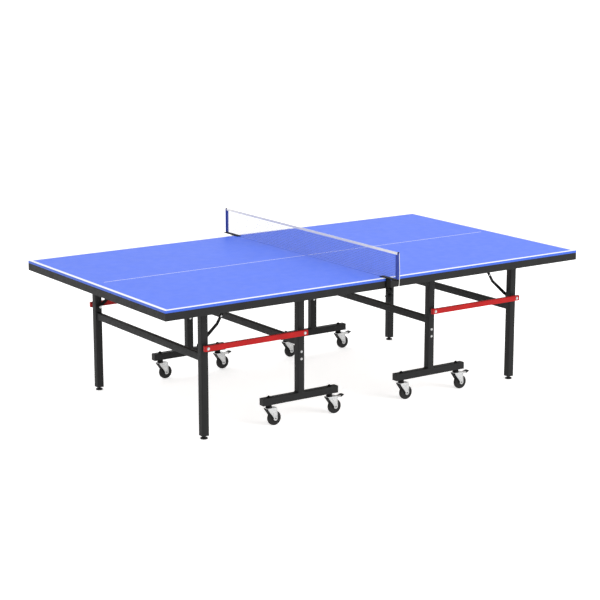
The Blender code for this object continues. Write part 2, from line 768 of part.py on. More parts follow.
def make_casters(half, sx, end, sy):
    """Two casters under a foot bar; the one on the right has the brake."""
    y = sy * FRAME_Y
    for number, sign in ((1, -1), (2, 1)):
        stem_x = sx * WHEEL_POST_X + sign * STEM_SPACING / 2
        tag = f"{half}_{end}_{number}"
        fork = make_fork(f"caster_fork_{tag}", stem_x, y)
        make_wheel(f"caster_wheel_{tag}", stem_x, y)
        if sign > 0:
            make_brake(f"caster_brake_{tag}", fork, stem_x, y)


# Net
def make_net_clamp(end, sy):
    """A bar on the table, a plate outside it with lugs for the jaw, and the net post."""
    edge = TABLE_WIDTH / 2
    half = CLAMP_WIDTH / 2
    seat = TABLE_HEIGHT + FIT
    bar_top = seat + CLAMP_BAR
    bar_end = NET_POST_Y + NET_POST_RADIUS + CLAMP_BAR_END
    part = box_part(
        f"net_clamp_{end}",
        BLACK_STEEL,
        (-half, sy * (edge - CLAMP_REACH), seat),
        (half, sy * bar_end, bar_top),
        (0, sy * edge, TABLE_HEIGHT),
    )
    face = edge + CLAMP_FACE_GAP
    back = face + CLAMP_PLATE
    plate_bottom = TABLE_HEIGHT - CLAMP_DROP
    plate = ((-half, sy * face, plate_bottom), (half, sy * back, seat + CLAMP_BAR / 2))
    boxes_tool(part, "UNION", [plate])
    pivot_y = edge + JAW_PIVOT_OUT
    pivot_z = TABLE_HEIGHT - JAW_PIVOT_DROP
    lug_low = pivot_z - JAW_BARREL_RADIUS
    lug_out = pivot_y + JAW_BARREL_RADIUS
    lugs = [
        (
            (sign * half, sy * (back - CLAMP_PLATE / 2), lug_low),
            (sign * (half - JAW_LUG), sy * lug_out, plate_bottom + JAW_LUG_LAP),
        )
        for sign in (-1, 1)
    ]
    boxes_tool(part, "UNION", lugs)
    reach = half - JAW_LUG / 2
    pin = ((-reach, sy * pivot_y, pivot_z), (reach, sy * pivot_y, pivot_z), JAW_PIN_RADIUS)
    rods_tool(part, "UNION", [pin])
    post_top = TABLE_HEIGHT + NET_RISE + NET_POST_TOP
    y = sy * NET_POST_Y
    rods_tool(part, "UNION", [((0, y, seat + CLAMP_BAR / 2), (0, y, post_top), NET_POST_RADIUS)])


def make_jaw(end, sy):
    """The clamp's lower jaw, hanging open; it swings up under the apron."""
    y = sy * (TABLE_WIDTH / 2 + JAW_PIVOT_OUT)
    z = TABLE_HEIGHT - JAW_PIVOT_DROP
    half = CLAMP_WIDTH / 2 - JAW_LUG - FIT
    thick = JAW_THICKNESS / 2
    part = box_part(
        f"clamp_jaw_{end}",
        BLACK_STEEL,
        (-half, y - thick, z - JAW_LENGTH),
        (half, y + thick, z),
        (0, y, z),
    )
    rods_tool(part, "UNION", [((-half, y, z), (half, y, z), JAW_BARREL_RADIUS)])
    hole = ((-2 * half, y, z), (2 * half, y, z), JAW_PIN_RADIUS + PIN_PLAY)
    screw_z = z - JAW_SCREW_AT
    screw_hole = (
        (0, y - JAW_THICKNESS, screw_z),
        (0, y + JAW_THICKNESS, screw_z),
        SCREW_RADIUS + PIN_PLAY,
    )
    rods_tool(part, "DIFFERENCE", [hole, screw_hole])


def make_screw(end, sy):
    """The clamp screw, through the jaw, with a sliding handle through its head."""
    y = TABLE_WIDTH / 2 + JAW_PIVOT_OUT
    z = TABLE_HEIGHT - JAW_PIVOT_DROP - JAW_SCREW_AT
    tip = y - JAW_THICKNESS / 2 - SCREW_TIP
    neck = y + JAW_THICKNESS / 2 + SCREW_NECK
    bm = bmesh.new()
    add_cylinder(bm, (0, sy * tip, z), (0, sy * (neck + SCREW_NECK), z), SCREW_RADIUS)
    part = make_part(f"clamp_screw_{end}", BLACK_STEEL, bm, (0, sy * y, z))
    head = ((0, sy * neck, z), (0, sy * (neck + SCREW_HEAD), z), SCREW_HEAD_RADIUS)
    rods_tool(part, "UNION", [head])
    bar_y = sy * (neck + SCREW_HEAD / 2)
    bar = ((-HANDLE_LEFT, bar_y, z), (HANDLE_RIGHT, bar_y, z), HANDLE_RADIUS)
    rods_tool(part, "UNION", [bar])
    ends = [
        ((x - HANDLE_END / 2, bar_y, z), (x + HANDLE_END / 2, bar_y, z), HANDLE_END_RADIUS)
        for x in (-HANDLE_LEFT, HANDLE_RIGHT)
    ]
    rods_tool(part, "UNION", ends)


def make_net():
    """Netting and the tape along its top, between the posts."""
    reach = NET_POST_Y - NET_POST_RADIUS - FIT
    top = TABLE_HEIGHT + NET_RISE
    tape_bottom = top - NET_TAPE_HEIGHT
    t = NET_THICKNESS / 2
    box_part(
        "net_mesh",
        BLUE_NETTING,
        (-t, -reach, TABLE_HEIGHT + NET_FOOT_GAP),
        (t, reach, tape_bottom - FIT),
    )
    t = NET_TAPE_THICKNESS / 2
    box_part("net_tape", CREAM_TAPE, (-t, -reach, tape_bottom), (t, reach, top))


def make_cord():
    """The net's tension cord, hanging from the top of the front post."""
    y = -NET_POST_Y - NET_POST_RADIUS - CORD_RADIUS - CORD_STAND_OFF
    top = TABLE_HEIGHT + NET_RISE - CORD_STAND_OFF
    curve = bpy.data.curves.new("tension_cord", "CURVE")
    curve.dimensions = "3D"
    curve.bevel_depth = CORD_RADIUS
    curve.bevel_resolution = 2
    curve.use_fill_caps = True
    spline = curve.splines.new("POLY")
    spline.points.add(CORD_STEPS)
    for i, point in enumerate(spline.points):
        along = i / CORD_STEPS
        sway = CORD_SWAY * math.sin(math.pi * along) * along
        point.co = (sway, y, top - CORD_DROP * along, 1)
    made = bpy.data.objects.new("tension_cord", curve)
    PARTS.objects.link(made)
    curve.materials.append(WHITE_CORD)


for half_name, x_sign in (LEFT, RIGHT):
    make_board(half_name, x_sign)
    make_apron(half_name, x_sign)
    make_wheel_frame(half_name, x_sign)
    make_leg_frame(half_name, x_sign)
    for end_name, y_sign in (FRONT, BACK):
        make_channel(half_name, x_sign, end_name, y_sign)
        make_t_leg(half_name, x_sign, end_name, y_sign)
        make_link_bar(half_name, x_sign, end_name, y_sign)
        make_stay(half_name, x_sign, end_name, y_sign)
        make_foot(half_name, x_sign, end_name, y_sign)
        make_casters(half_name, x_sign, end_name, y_sign)

for end_name, y_sign in (FRONT, BACK):
    make_net_clamp(end_name, y_sign)
    make_jaw(end_name, y_sign)
    make_screw(end_name, y_sign)
make_net()
make_cord()
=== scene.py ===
import math
import random

import bmesh
import bpy
from mathutils import Matrix, Vector


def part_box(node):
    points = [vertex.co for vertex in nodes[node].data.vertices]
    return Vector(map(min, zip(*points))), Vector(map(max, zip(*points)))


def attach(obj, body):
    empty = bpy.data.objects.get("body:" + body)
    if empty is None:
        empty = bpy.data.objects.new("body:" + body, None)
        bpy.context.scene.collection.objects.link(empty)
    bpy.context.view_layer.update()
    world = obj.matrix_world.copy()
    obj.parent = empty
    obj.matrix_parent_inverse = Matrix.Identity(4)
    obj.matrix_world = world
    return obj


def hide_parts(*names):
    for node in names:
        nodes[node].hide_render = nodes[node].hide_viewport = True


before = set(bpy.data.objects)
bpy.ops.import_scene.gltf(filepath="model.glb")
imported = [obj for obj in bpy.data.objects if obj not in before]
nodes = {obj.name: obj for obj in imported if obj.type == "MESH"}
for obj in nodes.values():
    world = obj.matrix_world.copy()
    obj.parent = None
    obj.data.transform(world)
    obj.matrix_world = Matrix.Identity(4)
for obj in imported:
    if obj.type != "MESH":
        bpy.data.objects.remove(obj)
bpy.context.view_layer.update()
HALVES = (("left", -1), ("right", 1))
SIDES = (("front", -1), ("back", 1))


# ---- Studio ----
# A pale seamless floor under an even white sky, with one broad lamp off the front right
# corner so that the faces towards the net's front post are lighter than the ends.
FLOOR_REACH = 90.0
CAMERA_PLACE = (-5.4825, -7.8986, 2.6615)
CAMERA_AZIMUTH = -34.55
CAMERA_ELEVATION = 12.68
CAMERA_LENS = 103.25
SENSOR_WIDTH = 36.0
SKY_STRENGTH = 1.02
FLOOR_SHADE = 0.80
FLOOR_GLOW = 0.62
LAMP_PLACE = (3.0, -7.0, 3.6)
LAMP_AIM = (0.0, 0.0, 0.5)
LAMP_SIZE = 4.0
LAMP_POWER = 250.0

studio = bpy.context.scene
studio.view_settings.view_transform = "Standard"
sky = bpy.data.worlds.new("white_sky")
sky.use_nodes = True
sky.node_tree.nodes["Background"].inputs["Color"].default_value = (1.0, 1.0, 1.0, 1.0)
sky.node_tree.nodes["Background"].inputs["Strength"].default_value = SKY_STRENGTH
studio.world = sky

floor_shape = bmesh.new()
bmesh.ops.create_circle(floor_shape, cap_ends=True, segments=64, radius=FLOOR_REACH)
floor_mesh = bpy.data.meshes.new("studio_floor")
floor_shape.to_mesh(floor_mesh)
floor_shape.free()
studio_floor = bpy.data.objects.new("studio_floor", floor_mesh)
studio.collection.objects.link(studio_floor)
floor_paint = bpy.data.materials.new("floor_paint")
floor_paint.use_nodes = True
floor_shader = floor_paint.node_tree.nodes["Principled BSDF"]
floor_shader.inputs["Base Color"].default_value = (FLOOR_SHADE, FLOOR_SHADE, FLOOR_SHADE, 1.0)
floor_shader.inputs["Roughness"].default_value = 0.9
floor_shader.inputs["Emission Color"].default_value = (1.0, 1.0, 1.0, 1.0)
floor_shader.inputs["Emission Strength"].default_value = FLOOR_GLOW
floor_mesh.materials.append(floor_paint)


def soft_lamp(name, place, aim, size, power):
    """A square softbox that faces aim."""
    lamp = bpy.data.lights.new(name, "AREA")
    lamp.size = size
    lamp.energy = power
    stand = bpy.data.objects.new(name, lamp)
    stand.location = place
    stand.rotation_euler = (Vector(aim) - Vector(place)).to_track_quat("-Z", "Y").to_euler()
    studio.collection.objects.link(stand)


soft_lamp("front_softbox", LAMP_PLACE, LAMP_AIM, LAMP_SIZE, LAMP_POWER)

camera_data = bpy.data.cameras.new("camera")
camera_data.lens = CAMERA_LENS
camera_data.sensor_width = SENSOR_WIDTH
camera_data.clip_end = 400.0
camera = bpy.data.objects.new("camera", camera_data)
camera.location = CAMERA_PLACE
camera.rotation_euler = (
    math.radians(90.0 - CAMERA_ELEVATION),
    0.0,
    math.radians(CAMERA_AZIMUTH),
)
studio.collection.objects.link(camera)
studio.camera = camera


# ---- Tension cord ----
# The net's white braided cord, tied off at the top of the front post and left hanging
# down its outer side, with a knot in the end to stop it fraying.
CORD_RADIUS = 0.0015
CORD_LENGTH = 0.178
CORD_TOP = 0.9105
CORD_Y = -0.8605
CORD_STEPS = 24
CORD_SWAY = 0.006
KNOT_STEPS = 48
KNOT_STRAND = 0.0013
KNOT_RING = 0.0014
KNOT_LOBE = 0.0006
KNOT_DEPTH = 0.0012
KNOT_RISE = 0.003


def metres(tree):
    """Coordinates in the table's own metres, for patterns of a real size."""
    return tree.nodes.new("ShaderNodeTexCoord").outputs["Object"]


def mottle(tree, size, low, high, detail=3.0):
    """A value that drifts between low and high over patches of about size metres."""
    noise = tree.nodes.new("ShaderNodeTexNoise")
    noise.inputs["Scale"].default_value = 1.0 / size
    noise.inputs["Detail"].default_value = detail
    tree.links.new(metres(tree), noise.inputs["Vector"])
    spread = tree.nodes.new("ShaderNodeMapRange")
    spread.inputs["From Min"].default_value = 0.3
    spread.inputs["From Max"].default_value = 0.7
    spread.inputs["To Min"].default_value = low
    spread.inputs["To Max"].default_value = high
    tree.links.new(noise.outputs["Fac"], spread.inputs["Value"])
    return spread.outputs["Result"]


def two_tone(tree, share, first, second):
    """first where share is 0, second where it is 1; each a colour or a socket."""
    mix = tree.nodes.new("ShaderNodeMix")
    mix.data_type = "RGBA"
    tree.links.new(share, mix.inputs["Factor"])
    for socket, colour in ((mix.inputs["A"], first), (mix.inputs["B"], second)):
        if isinstance(colour, bpy.types.NodeSocket):
            tree.links.new(colour, socket)
        else:
            socket.default_value = (*colour, 1.0)
    return mix.outputs["Result"]


def relief(tree, height, depth):
    """A bump whose full height is depth metres."""
    bump = tree.nodes.new("ShaderNodeBump")
    bump.inputs["Distance"].default_value = depth
    bump.inputs["Strength"].default_value = 1.0
    tree.links.new(height, bump.inputs["Height"])
    return bump.outputs["Normal"]


def waves(tree, direction, pitch):
    """Ridges pitch metres apart along an axis."""
    wave = tree.nodes.new("ShaderNodeTexWave")
    wave.bands_direction = direction
    wave.inputs["Scale"].default_value = math.pi / 10.0 / pitch
    tree.links.new(metres(tree), wave.inputs["Vector"])
    return wave.outputs["Fac"]


def blend_of(tree, operation, first, second):
    """One value worked out from two; each a number or a socket."""
    blend = tree.nodes.new("ShaderNodeMath")
    blend.operation = operation
    for socket, value in zip(blend.inputs, (first, second)):
        if isinstance(value, bpy.types.NodeSocket):
            tree.links.new(value, socket)
        else:
            socket.default_value = value
    return blend.outputs["Value"]


def new_finish(name):
    """An empty material with its node tree and its shader."""
    finish = bpy.data.materials.new(name)
    finish.use_nodes = True
    return finish, finish.node_tree, finish.node_tree.nodes["Principled BSDF"]


def woven_finish(name, light, dark, pitch, sheen):
    """Threads over and under each other at pitch, with a soft nap; the dark colour in the weave's
    hollows is painted shade.
    """
    finish, tree, shader = new_finish(name)
    weave = blend_of(tree, "MULTIPLY", waves(tree, "Y", pitch), waves(tree, "Z", pitch))
    # The weave's hollows take the dark colour: painted shade between the threads.
    tree.links.new(two_tone(tree, weave, dark, light), shader.inputs["Base Color"])
    tree.links.new(relief(tree, weave, pitch * 0.25), shader.inputs["Normal"])
    tree.links.new(mottle(tree, 0.004, 0.78, 0.92), shader.inputs["Roughness"])
    shader.inputs["Sheen Weight"].default_value = sheen
    return finish


def add_sweep(shape, points, radii, sides=8, closed=False):
    """A round bar that follows points; radii gives its radius at each one."""
    points = [Vector(p) for p in points]
    count = len(points)
    rings = []
    side_way = None
    for i, point in enumerate(points):
        before = points[(i - 1) % count] if closed or i else point
        after = points[(i + 1) % count] if closed or i < count - 1 else point
        way = (after - before).normalized()
        if side_way is None:
            start = Vector((1, 0, 0)) if abs(way.x) < 0.9 else Vector((0, 0, 1))
            side_way = way.cross(start).normalized()
        side_way = (side_way - way * side_way.dot(way)).normalized()
        up_way = way.cross(side_way)
        ring = []
        for k in range(sides):
            turn = 2.0 * math.pi * k / sides
            offset = side_way * math.cos(turn) + up_way * math.sin(turn)
            ring.append(shape.verts.new(point + offset * radii[i]))
        rings.append(ring)
    pairs = list(zip(rings, rings[1:]))
    if closed:
        pairs.append((rings[-1], rings[0]))
    for low, high in pairs:
        for k in range(sides):
            after = (k + 1) % sides
            shape.faces.new((low[k], low[after], high[after], high[k]))
    if not closed:
        shape.faces.new(rings[0][::-1])
        shape.faces.new(rings[-1])


def place_piece(name, shape, finish, body, slot, *stands_for):
    """Makes a shown piece of the table from a finished shape in the table's frame."""
    bmesh.ops.recalc_face_normals(shape, faces=shape.faces)
    mesh = bpy.data.meshes.new(name)
    shape.to_mesh(mesh)
    shape.free()
    mesh.shade_smooth()
    mesh.set_sharp_from_angle(angle=math.radians(38))
    mesh.materials.append(finish)
    piece = bpy.data.objects.new(name, mesh)
    studio.collection.objects.link(piece)
    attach(piece, body)
    if stands_for:
        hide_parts(*stands_for)
    return piece


white_braid = woven_finish("white_braid", (0.86, 0.86, 0.84), (0.6, 0.6, 0.58), 0.0012, 0.3)
cord_route = []
for step in range(CORD_STEPS + 1):
    along = step / CORD_STEPS
    sway = CORD_SWAY * math.sin(math.pi * along) * along
    cord_route.append((sway, CORD_Y, CORD_TOP - CORD_LENGTH * along))
cord_shape = bmesh.new()
add_sweep(cord_shape, cord_route, [CORD_RADIUS] * len(cord_route), sides=12)
tension_cord = place_piece(
    "tension_cord_braid", cord_shape, white_braid, "net_set", "cord", "tension_cord"
)

knot_shape = bmesh.new()
knot_route = []
for step in range(KNOT_STEPS):
    turn = 2.0 * math.pi * step / KNOT_STEPS
    ring = KNOT_RING + KNOT_LOBE * math.cos(3.0 * turn)
    knot_route.append(
        (
            ring * math.cos(2.0 * turn),
            CORD_Y + ring * math.sin(2.0 * turn),
            CORD_TOP - CORD_LENGTH + KNOT_RISE + KNOT_DEPTH * math.sin(3.0 * turn),
        )
    )
add_sweep(knot_shape, knot_route, [KNOT_STRAND] * len(knot_route), sides=8, closed=True)
cord_knot = place_piece("tension_cord_knot", knot_shape, white_braid, "net_set", "cord")


# ---- Boards ----
# Two medium-density fibre boards, rolled blue on top and edges, with a darker blue on the edges as
# painted shade, taped white lines round the outside and a thin centre line; the underside is only
# sealed.
SURFACE_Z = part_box("board_left")[1].z
BOARD_UNDER_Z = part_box("board_left")[0].z
TABLE_END_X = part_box("board_right")[1].x
TABLE_SIDE_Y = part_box("board_right")[1].y
EDGE_LINE = 0.020
CENTRE_LINE = 0.0050
CENTRE_LINE_START = 0.012
CENTRE_LINE_END = 1.300
LINE_BLUR = 0.0004
BOARD_ROUNDING = 0.0012
TOP_BLUES = ((0.046, 0.150, 0.86), (0.049, 0.156, 0.89))
SHADED_EDGE_BLUE = (0.018, 0.085, 0.50)
LINE_WHITE = (0.90, 0.91, 0.93)
SEALED_BROWNS = ((0.10, 0.072, 0.05), (0.15, 0.11, 0.08))


def soften_edges(node, rounding):
    """Eases the sharp edges of a CAD node, as the brake and the paint leave them."""
    weld = node.modifiers.new("weld_corners", "WELD")
    weld.merge_threshold = 0.00001
    ease = node.modifiers.new("eased_edges", "BEVEL")
    ease.width = rounding
    ease.segments = 2
    ease.limit_method = "ANGLE"
    ease.angle_limit = math.radians(50)
    ease.harden_normals = True


def coat(node, finish):
    """Gives a CAD node one finish all over."""
    node.data.materials.clear()
    node.data.materials.append(finish)


def step_up(tree, value, edge):
    """0 below edge and 1 above it, over the width of a line's soft border."""
    ramp = tree.nodes.new("ShaderNodeMapRange")
    ramp.inputs["From Min"].default_value = edge - LINE_BLUR
    ramp.inputs["From Max"].default_value = edge + LINE_BLUR
    tree.links.new(value, ramp.inputs["Value"])
    return ramp.outputs["Result"]


def playing_surface_finish():
    """Rolled blue paint with white lines on top, a darker blue on the edges as painted shade, and a
    sealed brown underside.
    """
    finish, tree, shader = new_finish("blue_playing_paint")
    split = tree.nodes.new("ShaderNodeSeparateXYZ")
    tree.links.new(metres(tree), split.inputs["Vector"])
    from_net = blend_of(tree, "ABSOLUTE", split.outputs["X"], 0.0)
    from_middle = blend_of(tree, "ABSOLUTE", split.outputs["Y"], 0.0)
    end_line = step_up(tree, from_net, TABLE_END_X - EDGE_LINE)
    side_line = step_up(tree, from_middle, TABLE_SIDE_Y - EDGE_LINE)
    off_centre = step_up(tree, from_middle, CENTRE_LINE / 2)
    centre_line = blend_of(tree, "SUBTRACT", 1.0, off_centre)
    clear_of_net = step_up(tree, from_net, CENTRE_LINE_START)
    centre_line = blend_of(tree, "MULTIPLY", centre_line, clear_of_net)
    past_end = step_up(tree, from_net, CENTRE_LINE_END)
    centre_line = blend_of(tree, "MULTIPLY", centre_line, blend_of(tree, "SUBTRACT", 1.0, past_end))
    lines = blend_of(tree, "MAXIMUM", end_line, side_line)
    lines = blend_of(tree, "MAXIMUM", lines, centre_line)
    on_top = step_up(tree, split.outputs["Z"], SURFACE_Z - BOARD_ROUNDING * 0.6)
    lines = blend_of(tree, "MULTIPLY", lines, on_top)
    blue = two_tone(tree, mottle(tree, 0.18, 0.0, 1.0), *TOP_BLUES)
    # The board's edges get a darker blue than the top: painted shade.
    blue_with_shaded_edges = two_tone(tree, on_top, SHADED_EDGE_BLUE, blue)
    painted = two_tone(tree, lines, blue_with_shaded_edges, LINE_WHITE)
    below = step_up(tree, split.outputs["Z"], BOARD_UNDER_Z + 0.0006)
    sealed = two_tone(tree, mottle(tree, 0.012, 0.0, 1.0, 6.0), *SEALED_BROWNS)
    tree.links.new(two_tone(tree, below, sealed, painted), shader.inputs["Base Color"])
    tree.links.new(mottle(tree, 0.05, 0.42, 0.48), shader.inputs["Roughness"])
    shader.inputs["Specular IOR Level"].default_value = 0.42
    roller = blend_of(tree, "ADD", mottle(tree, 0.0016, 0.0, 0.5), mottle(tree, 0.006, 0.0, 0.5))
    tree.links.new(relief(tree, roller, 0.000012), shader.inputs["Normal"])
    return finish


blue_paint = playing_surface_finish()
for half, sx in HALVES:
    board = nodes[f"board_{half}"]
    coat(board, blue_paint)
    soften_edges(board, BOARD_ROUNDING)


# ---- Aprons and pivot channels ----
# Dark grey powder-coated sheet steel: a channel-section frame round each board's edge,
# and two inverted channels under it that take the pivots. Small zinc screws go up through
# the frame into the board.
APRON_ROUNDING = 0.0009
CHANNEL_ROUNDING = 0.0006
SCREW_SPACING = 0.30
SCREW_INSET = 0.0165
SCREW_PROFILE = ((0.0034, 0), (0.0030, 0.0012), (0.0012, 0.002), (0, 0.002))
WASHER = 0.0013
DARK_GREY = (0.0120, 0.0121, 0.0124)


def powder_coat(name, colour, low, high, shine):
    """Baked powder paint: a fine orange peel, slightly uneven in shade and gloss."""
    finish, tree, shader = new_finish(name)
    darker = tuple(c * 0.86 for c in colour)
    lighter = tuple(c * 1.12 for c in colour)
    shade = two_tone(tree, mottle(tree, 0.07, 0.0, 1.0, 5.0), darker, lighter)
    tree.links.new(shade, shader.inputs["Base Color"])
    tree.links.new(mottle(tree, 0.02, low, high), shader.inputs["Roughness"])
    peel = mottle(tree, 0.0011, 0.0, 1.0, 2.0)
    tree.links.new(relief(tree, peel, 0.00003), shader.inputs["Normal"])
    shader.inputs["Specular IOR Level"].default_value = shine
    return finish


def add_turned(shape, profile, place, axis, sides=20):
    """Turns (radius, distance along axis) pairs about an axis through place."""
    turn_to = Vector(axis).to_track_quat("Z", "Y").to_matrix()
    place = Vector(place)
    rings = []
    for radius, height in profile:
        if radius < 1e-7:
            rings.append([shape.verts.new(place + turn_to @ Vector((0, 0, height)))])
            continue
        ring = []
        for k in range(sides):
            turn = 2.0 * math.pi * (k + 0.5) / sides
            spot = Vector((radius * math.cos(turn), radius * math.sin(turn), height))
            ring.append(shape.verts.new(place + turn_to @ spot))
        rings.append(ring)
    for low, high in zip(rings, rings[1:]):
        for k in range(sides):
            after = (k + 1) % sides
            corners = [low[k % len(low)], low[after % len(low)]]
            corners += [high[after % len(high)], high[k % len(high)]]
            unique = list(dict.fromkeys(corners))
            if len(unique) > 2:
                shape.faces.new(unique)
    for ring, flip in ((rings[0], -1), (rings[-1], 1)):
        if len(ring) > 1:
            shape.faces.new(ring[::flip])


def add_hex_bolt(shape, place, axis, size, washer=True):
    """A washer and a chamfered hexagon head, size metres across, standing on place."""
    start = 0.0
    if washer:
        rim = size * 0.62
        eased = (rim - 0.0004, WASHER)
        add_turned(shape, [(0, 0), (rim, 0), (rim, 0.0009), eased, (0, WASHER)], place, axis)
        start = WASHER
    corner = size * 0.5
    top = start + size * 0.25
    profile = [(corner, start), (corner, top - 0.0008), (corner * 0.84, top), (0, top)]
    add_turned(shape, profile, place, axis, sides=6)


dark_powder = powder_coat("dark_grey_powder_coat", DARK_GREY, 0.46, 0.58, 0.15)
for half, sx in HALVES:
    apron = nodes[f"apron_{half}"]
    coat(apron, dark_powder)
    soften_edges(apron, APRON_ROUNDING)
    for side, sy in SIDES:
        channel = nodes[f"pivot_channel_{half}_{side}"]
        coat(channel, dark_powder)
        soften_edges(channel, CHANNEL_ROUNDING)


def zinc_finish():
    """Bright zinc plate: a faint crystalline flow in colour and gloss."""
    finish, tree, shader = new_finish("bright_zinc_plate")
    flow = mottle(tree, 0.006, 0.0, 1.0, 4.0)
    shade = two_tone(tree, flow, (0.40, 0.41, 0.42), (0.60, 0.60, 0.59))
    tree.links.new(shade, shader.inputs["Base Color"])
    tree.links.new(mottle(tree, 0.003, 0.22, 0.40), shader.inputs["Roughness"])
    shader.inputs["Metallic"].default_value = 0.85
    tree.links.new(relief(tree, mottle(tree, 0.0008, 0.0, 1.0), 0.00003), shader.inputs["Normal"])
    return finish


zinc = zinc_finish()
for half, sx in HALVES:
    apron_low, apron_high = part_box(f"apron_{half}")
    apron_length = apron_high.x - apron_low.x
    screws = bmesh.new()
    screw_count = int(apron_length / SCREW_SPACING)
    for side, sy in SIDES:
        for i in range(screw_count):
            x = apron_low.x + apron_length * (i + 0.5) / screw_count
            spot = (x, sy * (TABLE_SIDE_Y - SCREW_INSET), apron_low.z)
            add_turned(screws, SCREW_PROFILE, spot, (0, 0, -1), 14)
    place_piece(f"apron_screws_{half}", screws, zinc, f"top_{half}", "zinc")


# ---- Wheel frames ----
# Two square-tube posts with a crossbar welded between them, powder-coated in one piece.
# Each post turns on a through bolt in its pivot channel, and a second one holds the link.
frame_low, frame_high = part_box("wheel_frame_right")
link_low, link_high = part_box("link_bar_right_back")
foot_low, foot_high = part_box("levelling_foot_right_back")
TUBE = frame_high.x - frame_low.x
TUBE_CORNER = 0.0035
FRAME_Y = (foot_low.y + foot_high.y) / 2
POST_X = (frame_low.x + frame_high.x) / 2
PIVOT_DROP = 0.040
PIVOT_Z = SURFACE_Z - PIVOT_DROP
LINK_Z = (link_low.z + link_high.z) / 2
TUBE_TOP = PIVOT_Z + 0.008
SPLIT_Z = frame_low.z
CROSSBAR_HALF = (0.0125, 0.020)
CROSSBAR_Z = 0.435
CHANNEL_FACE = 0.02345
LINK_INNER = link_low.y
LINK_OUTER = link_high.y
BOLT_HEAD = 0.0135
BOLT_RADIUS = 0.005
SPACER_RADIUS = 0.0085
BEAD = 0.0022
BEAD_STEP = 0.003


def add_bar(shape, low, high, along, corner):
    """A square or rectangular tube, seen from outside, with its long edges rounded."""
    low = Vector(low)
    high = Vector(high)
    place = Matrix.Translation((low + high) / 2)
    size = Matrix.Diagonal(high - low).to_4x4()
    made = bmesh.ops.create_cube(shape, size=1.0, matrix=place @ size)
    edges = {edge for vert in made["verts"] for edge in vert.link_edges}
    long_edges = [
        edge
        for edge in edges
        if abs(edge.verts[0].co[along] - edge.verts[1].co[along]) > 1e-6
    ]
    bmesh.ops.bevel(
        shape, geom=long_edges, offset=corner, segments=4, profile=0.5, affect="EDGES"
    )


def add_bead(shape, centre, across, up, normal_offset, radius):
    """A rippled weld round a rectangle: half sizes across and up from its centre."""
    corners = [centre + across + up, centre - across + up]
    corners += [centre - across - up, centre + across - up]
    route = []
    for start, end in zip(corners, corners[1:] + corners[:1]):
        count = max(2, round((end - start).length / BEAD_STEP))
        for i in range(count):
            route.append(start.lerp(end, i / count) + normal_offset)
    radii = [radius * (1.0 + 0.16 * math.sin(2.4 * i)) for i in range(len(route))]
    add_sweep(shape, route, radii, sides=6, closed=True)


def add_crossbar(shape, x):
    """The bar between two uprights, with a weld at each end."""
    half_thickness, half_height = CROSSBAR_HALF
    reach = FRAME_Y - TUBE / 2
    low = (x - half_thickness, -reach, CROSSBAR_Z - half_height)
    high = (x + half_thickness, reach, CROSSBAR_Z + half_height)
    add_bar(shape, low, high, 1, 0.003)
    for sy in (-1, 1):
        add_bead(
            shape,
            Vector((x, sy * reach, CROSSBAR_Z)),
            Vector((half_thickness, 0, 0)),
            Vector((0, 0, half_height)),
            Vector((0, -sy * 0.0006, 0)),
            BEAD,
        )


def add_upright(shape, x, y, bottom):
    """One square post, from bottom to its pivot channel."""
    reach = TUBE / 2
    low = (x - reach, y - reach, bottom)
    add_bar(shape, low, (x + reach, y + reach, TUBE_TOP), 2, TUBE_CORNER)


def add_rod(shape, place, axis, radius, length, sides):
    """A plain round rod that starts at place."""
    profile = [(0, 0), (radius, 0), (radius, length), (0, length)]
    add_turned(shape, profile, place, axis, sides)


def add_pivot_hardware(shape, x, sy, link_end):
    """Zinc bolts of one upright: through the channel, and from the link bar to link_end."""
    for z, outer, inner in (
        (PIVOT_Z, FRAME_Y + CHANNEL_FACE, FRAME_Y - CHANNEL_FACE),
        (LINK_Z, LINK_OUTER, link_end),
    ):
        add_hex_bolt(shape, (x, sy * outer, z), (0, sy, 0), BOLT_HEAD)
        add_hex_bolt(shape, (x, sy * inner, z), (0, -sy, 0), BOLT_HEAD)
        add_rod(shape, (x, sy * inner, z), (0, sy, 0), BOLT_RADIUS, outer - inner, 16)
    spacer_start = FRAME_Y + TUBE / 2
    start = (x, sy * spacer_start, LINK_Z)
    add_rod(shape, start, (0, sy, 0), SPACER_RADIUS, LINK_INNER - spacer_start, 24)


for half, sx in HALVES:
    x = sx * POST_X
    frame_steel = bmesh.new()
    hardware = bmesh.new()
    add_crossbar(frame_steel, x)
    for side, sy in SIDES:
        add_upright(frame_steel, x, sy * FRAME_Y, SPLIT_Z)
        add_pivot_hardware(hardware, x, sy, FRAME_Y - TUBE / 2)
    body = f"base_{half}"
    name = f"wheel_frame_steel_{half}"
    place_piece(name, frame_steel, dark_powder, body, "dark_steel", f"wheel_frame_{half}")
    place_piece(f"wheel_frame_bolts_{half}", hardware, zinc, body, "zinc")


# ---- T-legs ----
# A foot bar with a short post welded upright on it, plugged into the wheel post and held
# by two cross bolts. Black plastic caps are driven into the bar's open ends.
t_leg_low, t_leg_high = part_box("t_leg_right_back")
FOOT_BAR_LOW = t_leg_low.z
FOOT_BAR_HIGH = FOOT_BAR_LOW + TUBE
FOOT_BAR_REACH = (t_leg_high.x - t_leg_low.x) / 2
T_POST_TOP = SPLIT_Z - 0.0003
T_BOLT_LEVELS = (0.343, 0.383)
T_BOLT_HEAD = 0.0115
CAP_LIP = 0.0030
CAP_GAP = 0.0002
CAP_ROUNDING = 0.0016
CAP_BLACK = 0.006


